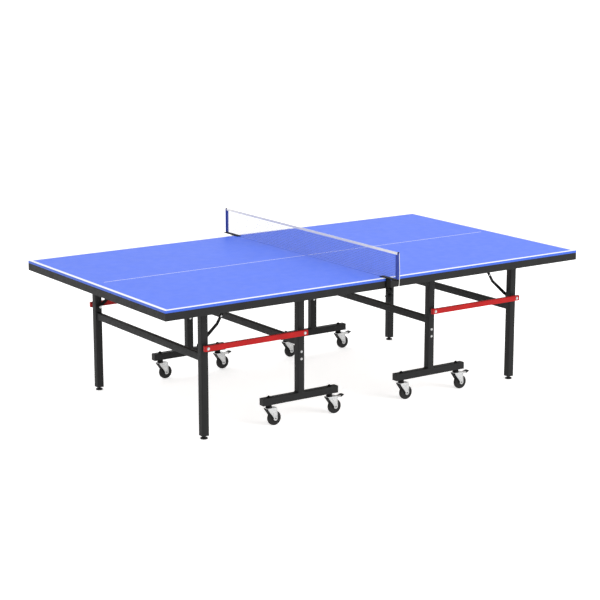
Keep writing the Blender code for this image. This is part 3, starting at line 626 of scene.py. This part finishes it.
def plastic_finish(name, shade):
    """Moulded plastic with a fine spark-eroded grain."""
    finish, tree, shader = new_finish(name)
    grain = mottle(tree, 0.0009, 0.0, 1.0, 2.0)
    worn = (shade * 1.5, shade * 1.5, shade * 1.55)
    tone = two_tone(tree, grain, (shade, shade, shade), worn)
    tree.links.new(tone, shader.inputs["Base Color"])
    tree.links.new(mottle(tree, 0.004, 0.42, 0.58), shader.inputs["Roughness"])
    tree.links.new(relief(tree, grain, 0.00006), shader.inputs["Normal"])
    shader.inputs["Specular IOR Level"].default_value = 0.25
    return finish


def add_tube_cap(shape, place, axis, size):
    """A pillow-faced square plug that covers a tube's end, its face along axis."""
    axis = Vector(axis)
    start = Vector(place)
    end = start + axis * CAP_LIP
    flat = Vector((1, 1, 1)) - Vector(abs(a) for a in axis)
    reach = flat * (size / 2 - CAP_GAP)
    low = Vector(min(a, b) for a, b in zip(start - reach, end - reach))
    high = Vector(max(a, b) for a, b in zip(start + reach, end + reach))
    middle = Matrix.Translation((low + high) / 2)
    spread = Matrix.Diagonal(high - low).to_4x4()
    made = bmesh.ops.create_cube(shape, size=1.0, matrix=middle @ spread)
    along = max(range(3), key=lambda i: abs(axis[i]))
    edges = {edge for vert in made["verts"] for edge in vert.link_edges}
    eased = [
        edge
        for edge in edges
        if abs(edge.verts[0].co[along] - edge.verts[1].co[along]) > 1e-6
        or all((vert.co - end).dot(axis) > -1e-6 for vert in edge.verts)
    ]
    bmesh.ops.bevel(
        shape, geom=eased, offset=CAP_ROUNDING, segments=3, profile=0.6, affect="EDGES"
    )


black_plastic = plastic_finish("black_moulded_plastic", CAP_BLACK)
for half, sx in HALVES:
    for side, sy in SIDES:
        x = sx * POST_X
        y = sy * FRAME_Y
        reach = TUBE / 2
        body = f"base_{half}"
        steel = bmesh.new()
        add_bar(
            steel,
            (x - FOOT_BAR_REACH, y - reach, FOOT_BAR_LOW),
            (x + FOOT_BAR_REACH, y + reach, FOOT_BAR_HIGH),
            0,
            TUBE_CORNER,
        )
        post_low = (x - reach, y - reach, FOOT_BAR_HIGH - 0.001)
        add_bar(steel, post_low, (x + reach, y + reach, T_POST_TOP), 2, TUBE_CORNER)
        add_bead(
            steel,
            Vector((x, y, FOOT_BAR_HIGH)),
            Vector((reach, 0, 0)),
            Vector((0, reach - 0.002, 0)),
            Vector((0, 0, 0.0004)),
            BEAD,
        )
        name = f"t_leg_steel_{half}_{side}"
        place_piece(name, steel, dark_powder, body, "dark_steel", f"t_leg_{half}_{side}")
        bolts = bmesh.new()
        for level in T_BOLT_LEVELS:
            for way in (-1, 1):
                add_hex_bolt(bolts, (x, y + way * reach, level), (0, way, 0), T_BOLT_HEAD)
        place_piece(f"t_leg_bolts_{half}_{side}", bolts, zinc, body, "zinc")
        caps = bmesh.new()
        cap_z = (FOOT_BAR_LOW + FOOT_BAR_HIGH) / 2
        for way in (-1, 1):
            add_tube_cap(caps, (x + way * FOOT_BAR_REACH, y, cap_z), (way, 0, 0), TUBE)
        place_piece(f"t_leg_caps_{half}_{side}", caps, black_plastic, body, "black_plastic")


# ---- Outer leg frames and levelling feet ----
# The same square tube and crossbar, hung from the board's outer pivots. A plastic cap in
# each leg's end takes the zinc stud of a levelling foot with a round black plastic pad.
leg_low, leg_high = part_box("leg_frame_right")
LEG_X = (leg_low.x + leg_high.x) / 2
LEG_BOTTOM = leg_low.z
STAY_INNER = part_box("stay_right_back")[0].y
PAD_SIDES = 48
PAD_FLUTES = 16
PAD_COLLAR_TOP = 0.0176
STUD_RADIUS = 0.005
STUD_LENGTH = 0.042


def add_knurled_pad(shape, x, y):
    """The foot: domed pad with finger flutes, and the collar above it."""
    rings = []
    for radius, height, flute in (
        (0.0175, 0.0, 0.0),
        (0.0195, 0.0008, 0.0),
        (0.0200, 0.0030, 0.0006),
        (0.0196, 0.0062, 0.0006),
        (0.0168, 0.0082, 0.0),
        (0.0098, 0.0096, 0.0),
        (0.0090, 0.0110, 0.0),
        (0.0090, PAD_COLLAR_TOP, 0.0),
    ):
        ring = []
        for k in range(PAD_SIDES):
            turn = 2.0 * math.pi * k / PAD_SIDES
            r = radius - flute * (1.0 + math.cos(turn * PAD_FLUTES)) / 2.0
            ring.append(shape.verts.new((x + r * math.cos(turn), y + r * math.sin(turn), height)))
        rings.append(ring)
    for low, high in zip(rings, rings[1:]):
        for k in range(PAD_SIDES):
            after = (k + 1) % PAD_SIDES
            shape.faces.new((low[k], low[after], high[after], high[k]))
    shape.faces.new(rings[0][::-1])
    shape.faces.new(rings[-1])


for half, sx in HALVES:
    x = sx * LEG_X
    leg_steel = bmesh.new()
    leg_bolts = bmesh.new()
    leg_caps = bmesh.new()
    add_crossbar(leg_steel, x)
    for side, sy in SIDES:
        y = sy * FRAME_Y
        add_upright(leg_steel, x, y, LEG_BOTTOM + CAP_LIP)
        add_pivot_hardware(leg_bolts, x, sy, STAY_INNER)
        add_tube_cap(leg_caps, (x, y, LEG_BOTTOM + CAP_LIP), (0, 0, -1), TUBE)
        body = f"foot_{half}_{side}"
        foot = bmesh.new()
        add_knurled_pad(foot, x, y)
        name = f"levelling_pad_{half}_{side}"
        cad_foot = f"levelling_foot_{half}_{side}"
        place_piece(name, foot, black_plastic, body, "black_plastic", cad_foot)
        stud = bmesh.new()
        add_rod(stud, (x, y, PAD_COLLAR_TOP), (0, 0, 1), STUD_RADIUS, STUD_LENGTH, 16)
        place_piece(f"levelling_stud_{half}_{side}", stud, zinc, body, "zinc")
    body = f"legs_{half}"
    name = f"leg_frame_steel_{half}"
    place_piece(name, leg_steel, dark_powder, body, "dark_steel", f"leg_frame_{half}")
    place_piece(f"leg_frame_bolts_{half}", leg_bolts, zinc, body, "zinc")
    place_piece(f"leg_caps_{half}", leg_caps, black_plastic, body, "black_plastic")


# ---- Link bars ----
# Red powder-coated rectangular tube that keeps each outer leg upright as the half folds.
# Its ends are closed with caps of the same red, set in a little from the tube's faces.
LINK_CORNER = 0.0026
LINK_CAP = 0.0012
LINK_CAP_CORNER = 0.002
RED = (0.355, 0.0060, 0.0064)

red_powder = powder_coat("red_powder_coat", RED, 0.42, 0.52, 0.14)
for half, sx in HALVES:
    for side, sy in SIDES:
        low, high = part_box(f"link_bar_{half}_{side}")
        bar = bmesh.new()
        inset = Vector((LINK_CAP, 0, 0))
        add_bar(bar, low + inset, high - inset, 0, LINK_CORNER)
        for end_x, way in ((low.x + LINK_CAP, -1), (high.x - LINK_CAP, 1)):
            start, end = sorted((end_x, end_x + way * LINK_CAP))
            cap_low = (start, low.y + LINK_CAP, low.z + LINK_CAP)
            cap_high = (end, high.y - LINK_CAP, high.z - LINK_CAP)
            add_bar(bar, cap_low, cap_high, 0, LINK_CAP_CORNER)
        name = f"link_bar_red_{half}_{side}"
        cad_bar = f"link_bar_{half}_{side}"
        place_piece(name, bar, red_powder, f"links_{half}", "red_steel", cad_bar)


# ---- Stays ----
# Cranked flat black steel, pinned to the pivot channel at the top and hooked over the
# link bolt at the bottom, with a small zinc bolt through each just above its knee.
STAY_THICKNESS = 0.005
STAY_POINTS = ((0.855, PIVOT_Z), (0.933, 0.590), (LEG_X, LINK_Z))
STAY_HALF_WIDTH = 0.0075
HOOK_RADIUS = 0.013
HOOK_REACH = 0.0056
STAY_BOLT = (0.909, 0.629)
STAY_BOLT_HEAD = 0.009
STAY_EASING = 0.0007
BLACK = (0.0022, 0.0022, 0.0024)


def stay_outline():
    """The bar from its round top end, past the knee, to the open hook round the bolt."""
    top, knee, bolt = (Vector(p) for p in STAY_POINTS)
    first = (knee - top).normalized()
    second = (bolt - knee).normalized()
    left_first = Vector((-first.y, first.x))
    left_second = Vector((-second.y, second.x))
    mitre = (left_first + left_second).normalized()
    mitre = mitre / mitre.dot(left_first)
    half_width = STAY_HALF_WIDTH
    outline = []
    start_angle = math.atan2(-left_first.y, -left_first.x)
    for i in range(9):
        turn = start_angle - math.pi * i / 8
        outline.append(top + Vector((math.cos(turn), math.sin(turn))) * half_width)
    outline.append(knee + mitre * half_width)
    hook_start = math.atan2(left_second.y, left_second.x) + 0.6
    hook_end = -math.acos(HOOK_REACH / HOOK_RADIUS)
    for i in range(15):
        turn = hook_start + (hook_end - hook_start) * i / 14
        outline.append(bolt + Vector((math.cos(turn), math.sin(turn))) * HOOK_RADIUS)
    outline.append(bolt + Vector((HOOK_REACH, 0)))
    for i in range(1, 5):
        turn = math.pi / 2 * i / 4
        outline.append(bolt + Vector((math.cos(turn), math.sin(turn))) * HOOK_REACH)
    right_end = bolt - left_second * half_width
    share = (bolt.y + HOOK_REACH - right_end.y) / -second.y
    outline.append(right_end - second * share)
    outline.append(knee - mitre * half_width)
    return outline


def add_plate(shape, outline, middle_y, thickness, edge):
    """A flat plate from an outline in X and Z, its edges eased on both faces."""
    near = [shape.verts.new((p[0], middle_y - thickness / 2, p[1])) for p in outline]
    far = [shape.verts.new((p[0], middle_y + thickness / 2, p[1])) for p in outline]
    front_face = shape.faces.new(near)
    back_face = shape.faces.new(far[::-1])
    count = len(outline)
    for i in range(count):
        after = (i + 1) % count
        shape.faces.new((near[i], far[i], far[after], near[after]))
    rims = list(front_face.edges) + list(back_face.edges)
    bmesh.ops.bevel(shape, geom=rims, offset=edge, segments=2, profile=0.5, affect="EDGES")


black_powder = powder_coat("black_powder_coat", BLACK, 0.46, 0.58, 0.10)
for half, sx in HALVES:
    for side, sy in SIDES:
        stay_low, stay_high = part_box(f"stay_{half}_{side}")
        middle = (stay_low.y + stay_high.y) / 2
        outline = [(sx * p.x, p.y) for p in stay_outline()]
        stay = bmesh.new()
        add_plate(stay, outline, middle, STAY_THICKNESS, STAY_EASING)
        body = f"stay_{half}_{side}"
        place_piece(f"stay_bar_{half}_{side}", stay, black_powder, body, "black_steel", body)
        bolt = bmesh.new()
        x, z = STAY_BOLT
        for way in (-1, 1):
            spot = (sx * x, middle + way * STAY_THICKNESS / 2, z)
            add_hex_bolt(bolt, spot, (0, way, 0), STAY_BOLT_HEAD)
        place_piece(f"stay_bolt_{half}_{side}", bolt, zinc, body, "zinc")


# ---- Casters ----
# Pressed zinc-plated forks that swivel on a stem through the foot bar, with black rubber
# tyres on plastic hubs. The right-hand one of each pair has a foot brake with a black tip.
near_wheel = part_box("caster_wheel_right_back_1")
far_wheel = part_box("caster_wheel_right_back_2")
STEM_GAP = (far_wheel[0].x - near_wheel[0].x) / 2
TRAIL = (far_wheel[0].x + near_wheel[1].x) / 2 - POST_X
WHEEL_RADIUS = far_wheel[1].z / 2
WHEEL_HALF = (far_wheel[1].y - far_wheel[0].y) / 2
RACE = 0.018
FORK_TOP = FOOT_BAR_LOW - RACE
CHEEK_INNER = 0.015
CHEEK = 0.0025
CHEEK_EAR = 0.0125
# Thickness of the black strip of painted shade on each cheek's rear edge; the axle bosses stand out
# by the same amount.
SHADE_STRIP_THICKNESS = 0.0006
RIB_RADIUS = 0.0013
STEM_RADIUS = 0.006
STEM_LENGTH = 0.046
STEM_NUT = 0.019
STEM_END = ((0, 0), (0.0045, 0), (0.0045, 0.0085), (0.0036, 0.0095), (0, 0.0095))
BRAKE_PIN = (0.018, 0.0885)
BRAKE_WIDTH = 0.025
BRAKE_TIP_WIDTH = 0.0265


def rubber_finish():
    """Matt black rubber, greyed with dust and scuffed where it rolls."""
    finish, tree, shader = new_finish("black_tyre_rubber")
    scuff = mottle(tree, 0.005, 0.0, 1.0, 6.0)
    shade = two_tone(tree, scuff, (0.008, 0.008, 0.0085), (0.020, 0.0195, 0.019))
    tree.links.new(shade, shader.inputs["Base Color"])
    tree.links.new(mottle(tree, 0.002, 0.55, 0.75), shader.inputs["Roughness"])
    tree.links.new(relief(tree, scuff, 0.00008), shader.inputs["Normal"])
    shader.inputs["Specular IOR Level"].default_value = 0.2
    return finish


def cheek_outline(stem_x):
    """One side of the fork: swept back from the race to a round ear on the axle."""
    axle_x = stem_x + TRAIL
    outline = [(stem_x - 0.019, FORK_TOP), (stem_x + 0.041, FORK_TOP)]
    outline.append((stem_x + 0.0435, FORK_TOP - 0.0035))
    outline.append((axle_x + CHEEK_EAR - 0.0006, WHEEL_RADIUS + 0.020))
    for i in range(15):
        turn = math.radians(8) - math.radians(212) * i / 14
        outline.append(
            (axle_x + CHEEK_EAR * math.cos(turn), WHEEL_RADIUS + CHEEK_EAR * math.sin(turn))
        )
    outline.append((stem_x - 0.019, FORK_TOP - 0.0055))
    return outline


def rib_routes(stem_x, y):
    """The two pressed ribs that stiffen a cheek along its rear and front edges."""
    axle_x = stem_x + TRAIL
    rear = [
        (stem_x - 0.0150, y, FORK_TOP - 0.0070),
        (stem_x + 0.0020, y, FORK_TOP - 0.0290),
        (axle_x - 0.0095, y, WHEEL_RADIUS + 0.0080),
    ]
    front = [
        (stem_x + 0.0405, y, FORK_TOP - 0.0040),
        (axle_x + 0.0095, y, WHEEL_RADIUS + 0.0200),
        (axle_x + 0.0095, y, WHEEL_RADIUS + 0.0060),
    ]
    return rear, front


def shade_guard_outline(stem_x):
    """A black strip between the cheeks behind the wheel, clear of its tread: painted shade inside
    the fork.
    """
    return [
        (stem_x - 0.0185, FORK_TOP - 0.0030),
        (stem_x - 0.0040, FORK_TOP - 0.0030),
        (stem_x - 0.0040, FORK_TOP - 0.0160),
        (stem_x + 0.0015, FORK_TOP - 0.0325),
        (stem_x - 0.0010, FORK_TOP - 0.0315),
        (stem_x - 0.0185, FORK_TOP - 0.0065),
    ]


def shade_strip_outline(stem_x):
    """A black strip over a cheek's rear edge, from the race to the ear: painted shade along that
    edge.
    """
    axle_x = stem_x + TRAIL
    return [
        (stem_x - 0.0208, FORK_TOP - 0.0015),
        (stem_x - 0.0165, FORK_TOP - 0.0015),
        (axle_x - 0.0098, WHEEL_RADIUS + 0.0010),
        (axle_x - 0.0140, WHEEL_RADIUS - 0.0010),
        (stem_x - 0.0208, FORK_TOP - 0.0060),
    ]


def add_wheel(tyre, hub, axle_x, y):
    """Tyre with a crowned tread and a raised bead, and a webbed hub inside it."""
    w = WHEEL_HALF
    tyre_profile = [
        (0.0260, -w + 0.0012),
        (0.0290, -w),
        (0.0340, -w + 0.0004),
        (0.0376, -w + 0.0022),
        (0.0393, -w + 0.0050),
        (WHEEL_RADIUS, -0.004),
        (WHEEL_RADIUS, 0.004),
        (0.0393, w - 0.0050),
        (0.0376, w - 0.0022),
        (0.0340, w - 0.0004),
        (0.0290, w),
        (0.0260, w - 0.0012),
    ]
    add_turned(tyre, tyre_profile, (axle_x, y, WHEEL_RADIUS), (0, 1, 0), 48)
    for way in (-1, 1):
        hub_profile = [
            (0.0261, w - 0.0020),
            (0.0250, w - 0.0004),
            (0.0230, w - 0.0004),
            (0.0215, w - 0.0030),
            (0.0105, w - 0.0030),
            (0.0092, w - 0.0002),
            (0.0050, w + 0.0010),
            (0.0, w + 0.0010),
        ]
        add_turned(hub, hub_profile, (axle_x, y, WHEEL_RADIUS), (0, way, 0), 32)


def brake_outline(stem_x):
    """The lever, seen from the side: a barrel on the pin, then a long tread that rises."""
    px = stem_x + BRAKE_PIN[0]
    pz = BRAKE_PIN[1]
    return [
        (px - 0.0048, pz + 0.0020),
        (px - 0.0020, pz + 0.0050),
        (px + 0.0120, pz + 0.0046),
        (px + 0.0340, pz + 0.0072),
        (px + 0.0560, pz + 0.0106),
        (px + 0.0560, pz - 0.0016),
        (px + 0.0360, pz - 0.0002),
        (px + 0.0140, pz + 0.0012),
        (px + 0.0040, pz - 0.0046),
        (px - 0.0020, pz - 0.0046),
    ]


def brake_tip_outline(stem_x):
    """The moulded shoe over the lever's end."""
    px = stem_x + BRAKE_PIN[0]
    pz = BRAKE_PIN[1]
    return [
        (px + 0.0500, pz + 0.0104),
        (px + 0.0600, pz + 0.0128),
        (px + 0.0700, pz + 0.0134),
        (px + 0.0738, pz + 0.0112),
        (px + 0.0680, pz + 0.0058),
        (px + 0.0500, pz - 0.0010),
    ]


tyre_rubber = rubber_finish()
for half, sx in HALVES:
    for side, sy in SIDES:
        for number, way in ((1, -1), (2, 1)):
            tag = f"{half}_{side}_{number}"
            stem_x = sx * POST_X + way * STEM_GAP
            axle_x = stem_x + TRAIL
            y = sy * FRAME_Y
            body = f"fork_{tag}"
            fork = bmesh.new()
            for face in (-1, 1):
                middle = y + face * (CHEEK_INNER + CHEEK / 2)
                add_plate(fork, cheek_outline(stem_x), middle, CHEEK, 0.0005)
                for rib in rib_routes(stem_x, y + face * (CHEEK_INNER + CHEEK)):
                    add_sweep(fork, rib, [RIB_RADIUS] * 3, sides=8)
            add_bar(
                fork,
                (stem_x - 0.019, y - CHEEK_INNER - 0.001, FORK_TOP - CHEEK),
                (stem_x + 0.0415, y + CHEEK_INNER + 0.001, FORK_TOP),
                0,
                0.0006,
            )
            for face in (-1, 1):
                spot = (axle_x, y + face * (CHEEK_INNER + CHEEK), WHEEL_RADIUS)
                add_rod(fork, spot, (0, face, 0), 0.0062, SHADE_STRIP_THICKNESS, 24)
            place_piece(f"caster_fork_steel_{tag}", fork, zinc, body, "zinc", f"caster_fork_{tag}")
            stem = bmesh.new()
            race = [(0, 0), (0.0178, 0), (0.0184, 0.0016), (0.0178, 0.0060), (0.0164, 0.0080)]
            race += [(0.0164, RACE - 0.0004), (0, RACE - 0.0004)]
            add_turned(stem, race, (stem_x, y, FORK_TOP), (0, 0, 1), 32)
            for face in (-1, 1):
                spot = (axle_x, y + face * (CHEEK_INNER + CHEEK + SHADE_STRIP_THICKNESS), WHEEL_RADIUS)
                add_hex_bolt(stem, spot, (0, face, 0), 0.0080, washer=False)
            # A black strip between the cheeks: painted shade inside the fork.
            add_plate(stem, shade_guard_outline(stem_x), y, 2 * CHEEK_INNER - 0.001, 0.0004)
            # A black strip over each cheek's rear edge: painted shade along the fork's back.
            for face in (-1, 1):
                middle = y + face * (CHEEK_INNER + CHEEK / 2)
                add_plate(stem, shade_strip_outline(stem_x), middle, CHEEK + 2 * SHADE_STRIP_THICKNESS, 0.0004)
            stem_foot = (stem_x, y, FORK_TOP + RACE - 0.0004)
            add_rod(stem, stem_foot, (0, 0, 1), STEM_RADIUS, STEM_LENGTH, 20)
            nut_seat = (stem_x, y, FOOT_BAR_HIGH + 0.0003)
            add_hex_bolt(stem, nut_seat, (0, 0, 1), STEM_NUT)
            add_turned(stem, STEM_END, nut_seat, (0, 0, 1), 16)
            place_piece(f"caster_stem_{tag}", stem, black_powder, body, "black_steel")
            tyre = bmesh.new()
            hub = bmesh.new()
            add_wheel(tyre, hub, axle_x, y)
            body = f"wheel_{tag}"
            cad_wheel = f"caster_wheel_{tag}"
            place_piece(f"caster_tyre_{tag}", tyre, tyre_rubber, body, "rubber", cad_wheel)
            place_piece(f"caster_hub_{tag}", hub, black_plastic, body, "black_plastic")
            if way > 0:
                body = f"brake_{tag}"
                lever = bmesh.new()
                add_plate(lever, brake_outline(stem_x), y, BRAKE_WIDTH, 0.0006)
                place_piece(f"brake_lever_{tag}", lever, zinc, body, "zinc", f"caster_brake_{tag}")
                tip = bmesh.new()
                add_plate(tip, brake_tip_outline(stem_x), y, BRAKE_TIP_WIDTH, 0.0012)
                place_piece(f"brake_tip_{tag}", tip, black_plastic, body, "black_plastic")


# ---- Net clamps ----
# Black powder-coated steel: a bar that rests on the boards, a plate down the outside with
# two lugs, and the hinged jaw with its screw. The net post is welded to the bar's end.
clamp_low, clamp_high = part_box("net_clamp_back")
jaw_low, jaw_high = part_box("clamp_jaw_back")
screw_low, screw_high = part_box("clamp_screw_back")
LUG = 0.0036
LUG_ROUND = 0.0055
JAW_Y = (jaw_low.y + jaw_high.y) / 2
JAW_Z = jaw_high.z - LUG_ROUND
CLAMP_HALF = clamp_high.x
CLAMP_EASING = 0.0012
BAR_LOW = SURFACE_Z + 0.0003
BAR_HIGH = BAR_LOW + 0.004
BAR_INNER = clamp_low.y
BAR_OUTER = clamp_high.y
PLATE_INNER = TABLE_SIDE_Y + 0.0008
PLATE_OUTER = PLATE_INNER + 0.008
PLATE_LOW = JAW_Z + 0.008
JAW_HALF = 0.0025
JAW_ROUNDING = 0.0011
COLLAR_RING = 0.0059
COLLAR_BEAD = 0.0014
SCREW_Z = (screw_low.z + screw_high.z) / 2
SCREW_TIP = 0.0075
SCREW_NECK = 0.002
SCREW_PITCH = 0.0011
SCREW_TURNS = 11
HANDLE_START = screw_low.x
POST_Y = BAR_OUTER - 0.006
POST_TOP = clamp_high.z
POST_RADIUS = 0.005


def add_side_bar(shape, low, high, sy, along, corner):
    """A bar given for the back side, moved to side sy."""
    start, end = sorted((sy * low[1], sy * high[1]))
    add_bar(shape, (low[0], start, low[2]), (high[0], end, high[2]), along, corner)


for side, sy in SIDES:
    clamp = bmesh.new()
    low = (-CLAMP_HALF, BAR_INNER, BAR_LOW)
    high = (CLAMP_HALF, BAR_OUTER, BAR_HIGH)
    add_side_bar(clamp, low, high, sy, 1, CLAMP_EASING)
    low = (-CLAMP_HALF, PLATE_INNER, PLATE_LOW)
    high = (CLAMP_HALF, PLATE_OUTER, BAR_LOW + 0.002)
    add_side_bar(clamp, low, high, sy, 2, CLAMP_EASING)
    for way in (-1, 1):
        lug_start, lug_end = sorted((way * CLAMP_HALF, way * (CLAMP_HALF - LUG)))
        low = (lug_start, PLATE_INNER + 0.004, JAW_Z - LUG_ROUND)
        high = (lug_end, JAW_Y + LUG_ROUND, PLATE_LOW + 0.006)
        add_side_bar(clamp, low, high, sy, 0, 0.0022)
    pin = [(0, 0), (0.0034, 0), (0.0034, 0.0014), (0.0025, 0.0016)]
    pin += [(0.0025, 0.0316), (0.0034, 0.0318), (0.0034, 0.0332), (0, 0.0332)]
    add_turned(clamp, pin, (-0.0166, sy * JAW_Y, JAW_Z), (1, 0, 0), 18)
    post_length = POST_TOP - BAR_HIGH
    post = [(0, 0), (POST_RADIUS, 0), (POST_RADIUS, post_length - 0.002)]
    post += [(0.0036, post_length), (0, post_length)]
    add_turned(clamp, post, (0, sy * POST_Y, BAR_HIGH), (0, 0, 1), 24)
    add_bead(
        clamp,
        Vector((0, sy * PLATE_OUTER, BAR_LOW - 0.001)),
        Vector((CLAMP_HALF - 0.001, 0, 0)),
        Vector((0, 0, 0.0006)),
        Vector((0, 0, 0)),
        0.0014,
    )
    name = f"net_clamp_steel_{side}"
    place_piece(name, clamp, black_powder, "net_set", "black_steel", f"net_clamp_{side}")

    jaw = nodes[f"clamp_jaw_{side}"]
    coat(jaw, black_powder)
    soften_edges(jaw, JAW_ROUNDING)
    collar = bmesh.new()
    collar_route = []
    for step in range(24):
        turn = 2.0 * math.pi * step / 24
        x, z = COLLAR_RING * math.cos(turn), COLLAR_RING * math.sin(turn)
        collar_route.append((x, sy * (JAW_Y + JAW_HALF + 0.0005), SCREW_Z + z))
    add_sweep(collar, collar_route, [COLLAR_BEAD] * len(collar_route), sides=10, closed=True)
    place_piece(f"clamp_jaw_collar_{side}", collar, black_powder, f"jaw_{side}", "black_steel")

    screw = bmesh.new()
    tip_y = JAW_Y - JAW_HALF - SCREW_TIP
    thread = [(0, 0), (0.0045, 0), (0.0045, 0.0012)]
    for i in range(SCREW_TURNS):
        thread += [(0.0034, 0.0016 + SCREW_PITCH * i), (0.0040, 0.0021 + SCREW_PITCH * i)]
    thread += [(0.0034, 0.0138), (0.0034, 0.0147), (0, 0.0147)]
    add_turned(screw, thread, (0, sy * tip_y, SCREW_Z), (0, sy, 0), 20)
    head_y = JAW_Y + JAW_HALF + SCREW_NECK
    head = [(0, 0), (0.0060, 0), (0.0075, 0.0012), (0.0075, 0.0118), (0.0062, 0.013), (0, 0.013)]
    add_turned(screw, head, (0, sy * head_y, SCREW_Z), (0, sy, 0), 24)
    bar_y = sy * (head_y + 0.0065)
    handle = [(0, 0), (0.0022, 0.0003), (0.0035, 0.002), (0.0035, 0.004)]
    handle += [(0.0022, 0.006), (0.0020, 0.0065), (0.0020, 0.0475), (0.0022, 0.048)]
    handle += [(0.0035, 0.050), (0.0035, 0.052), (0.0022, 0.0537), (0, 0.054)]
    add_turned(screw, handle, (HANDLE_START, bar_y, SCREW_Z), (1, 0, 0), 18)
    name = f"clamp_screw_steel_{side}"
    place_piece(name, screw, black_powder, f"screw_{side}", "black_steel", f"clamp_screw_{side}")


# ---- Net ----
# Knotted blue netting hung from a folded cream tape along its top edge, with a blue
# sleeve at each end that slips over the post.
NET_REACH = round(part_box("net_mesh")[1].y, 4)
NET_LOW = round(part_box("net_mesh")[0].z, 4)
TAPE_LOW = round(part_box("net_tape")[0].z, 4)
TAPE_HIGH = round(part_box("net_tape")[1].z, 4)
NET_PITCH = 0.0095
THREAD_RADIUS = 0.00056
THREAD_LEAN = 0.0004
THREAD_KNOT = (0.0011, 0.0009, 0.0010)
TAPE_HALF = 0.0016
STITCH_PITCH = 0.006
STITCH_LENGTH = 0.0036
STITCH_RISE = 0.0022
STITCH_RADIUS = 0.00022
STITCH_END = 0.004
SLEEVE_RADIUS = 0.0063
SLEEVE_RINGS = 18

random.seed(7)
net_columns = round(2 * NET_REACH / NET_PITCH)
net_rows = round((TAPE_LOW - NET_LOW) / NET_PITCH)
netting = bmesh.new()
for i in range(net_columns + 1):
    y = -NET_REACH + 2 * NET_REACH * i / net_columns
    lean = random.uniform(-THREAD_LEAN, THREAD_LEAN)
    thread = [(0, y + lean, NET_LOW), (0, y, TAPE_LOW)]
    add_sweep(netting, thread, [THREAD_RADIUS] * 2, sides=5)
for j in range(net_rows):
    z = NET_LOW + (TAPE_LOW - NET_LOW) * j / net_rows
    thread = [(0, -NET_REACH, z), (0, NET_REACH, z)]
    add_sweep(netting, thread, [THREAD_RADIUS] * 2, sides=5)
    for i in range(net_columns + 1):
        y = -NET_REACH + 2 * NET_REACH * i / net_columns
        knot = Matrix.Translation((0, y, z)) @ Matrix.Diagonal(THREAD_KNOT).to_4x4()
        bmesh.ops.create_icosphere(netting, subdivisions=1, radius=1.0, matrix=knot)
net_blue = woven_finish("blue_net_twine", (0.034, 0.080, 0.46), (0.014, 0.034, 0.25), 0.0009, 0.1)
net_threads = place_piece("net_threads", netting, net_blue, "net_set", "netting", "net_mesh")

tape = bmesh.new()
tape_low = (-TAPE_HALF, -NET_REACH, TAPE_LOW)
add_bar(tape, tape_low, (TAPE_HALF, NET_REACH, TAPE_HIGH), 1, 0.0013)
cream_cotton = woven_finish("cream_cotton_tape", (0.93, 0.91, 0.87), (0.78, 0.76, 0.72), 0.0010, 0.3)
place_piece("net_tape_cotton", tape, cream_cotton, "net_set", "tape", "net_tape")

stitches = bmesh.new()
stitch_count = round(2 * NET_REACH / STITCH_PITCH)
stitch_z = TAPE_LOW + STITCH_RISE
for i in range(stitch_count):
    y = -NET_REACH + STITCH_END + 2 * (NET_REACH - STITCH_END) * i / stitch_count
    for face in (-1, 1):
        x = face * (TAPE_HALF + 0.00005)
        stitch = [(x, y, stitch_z), (x, y + STITCH_LENGTH, stitch_z)]
        add_sweep(stitches, stitch, [STITCH_RADIUS] * 2, sides=4)
place_piece("net_tape_stitches", stitches, white_braid, "net_set", "tape")

sleeves = bmesh.new()
sleeve_low = NET_LOW + 0.001
sleeve_high = TAPE_HIGH - 0.004
for side, sy in SIDES:
    route = []
    radii = []
    for k in range(SLEEVE_RINGS + 1):
        z = sleeve_low + (sleeve_high - sleeve_low) * k / SLEEVE_RINGS
        route.append((0, sy * POST_Y, z))
        radii.append(SLEEVE_RADIUS * (1.0 + 0.03 * math.sin(2.1 * k)))
    add_sweep(sleeves, route, radii, sides=20)
    low = (-0.0009, NET_REACH - 0.016, sleeve_low)
    high = (0.0009, POST_Y - 0.004, TAPE_LOW - 0.0004)
    add_side_bar(sleeves, low, high, sy, 2, 0.0006)
place_piece("net_sleeves", sleeves, net_blue, "net_set", "netting")
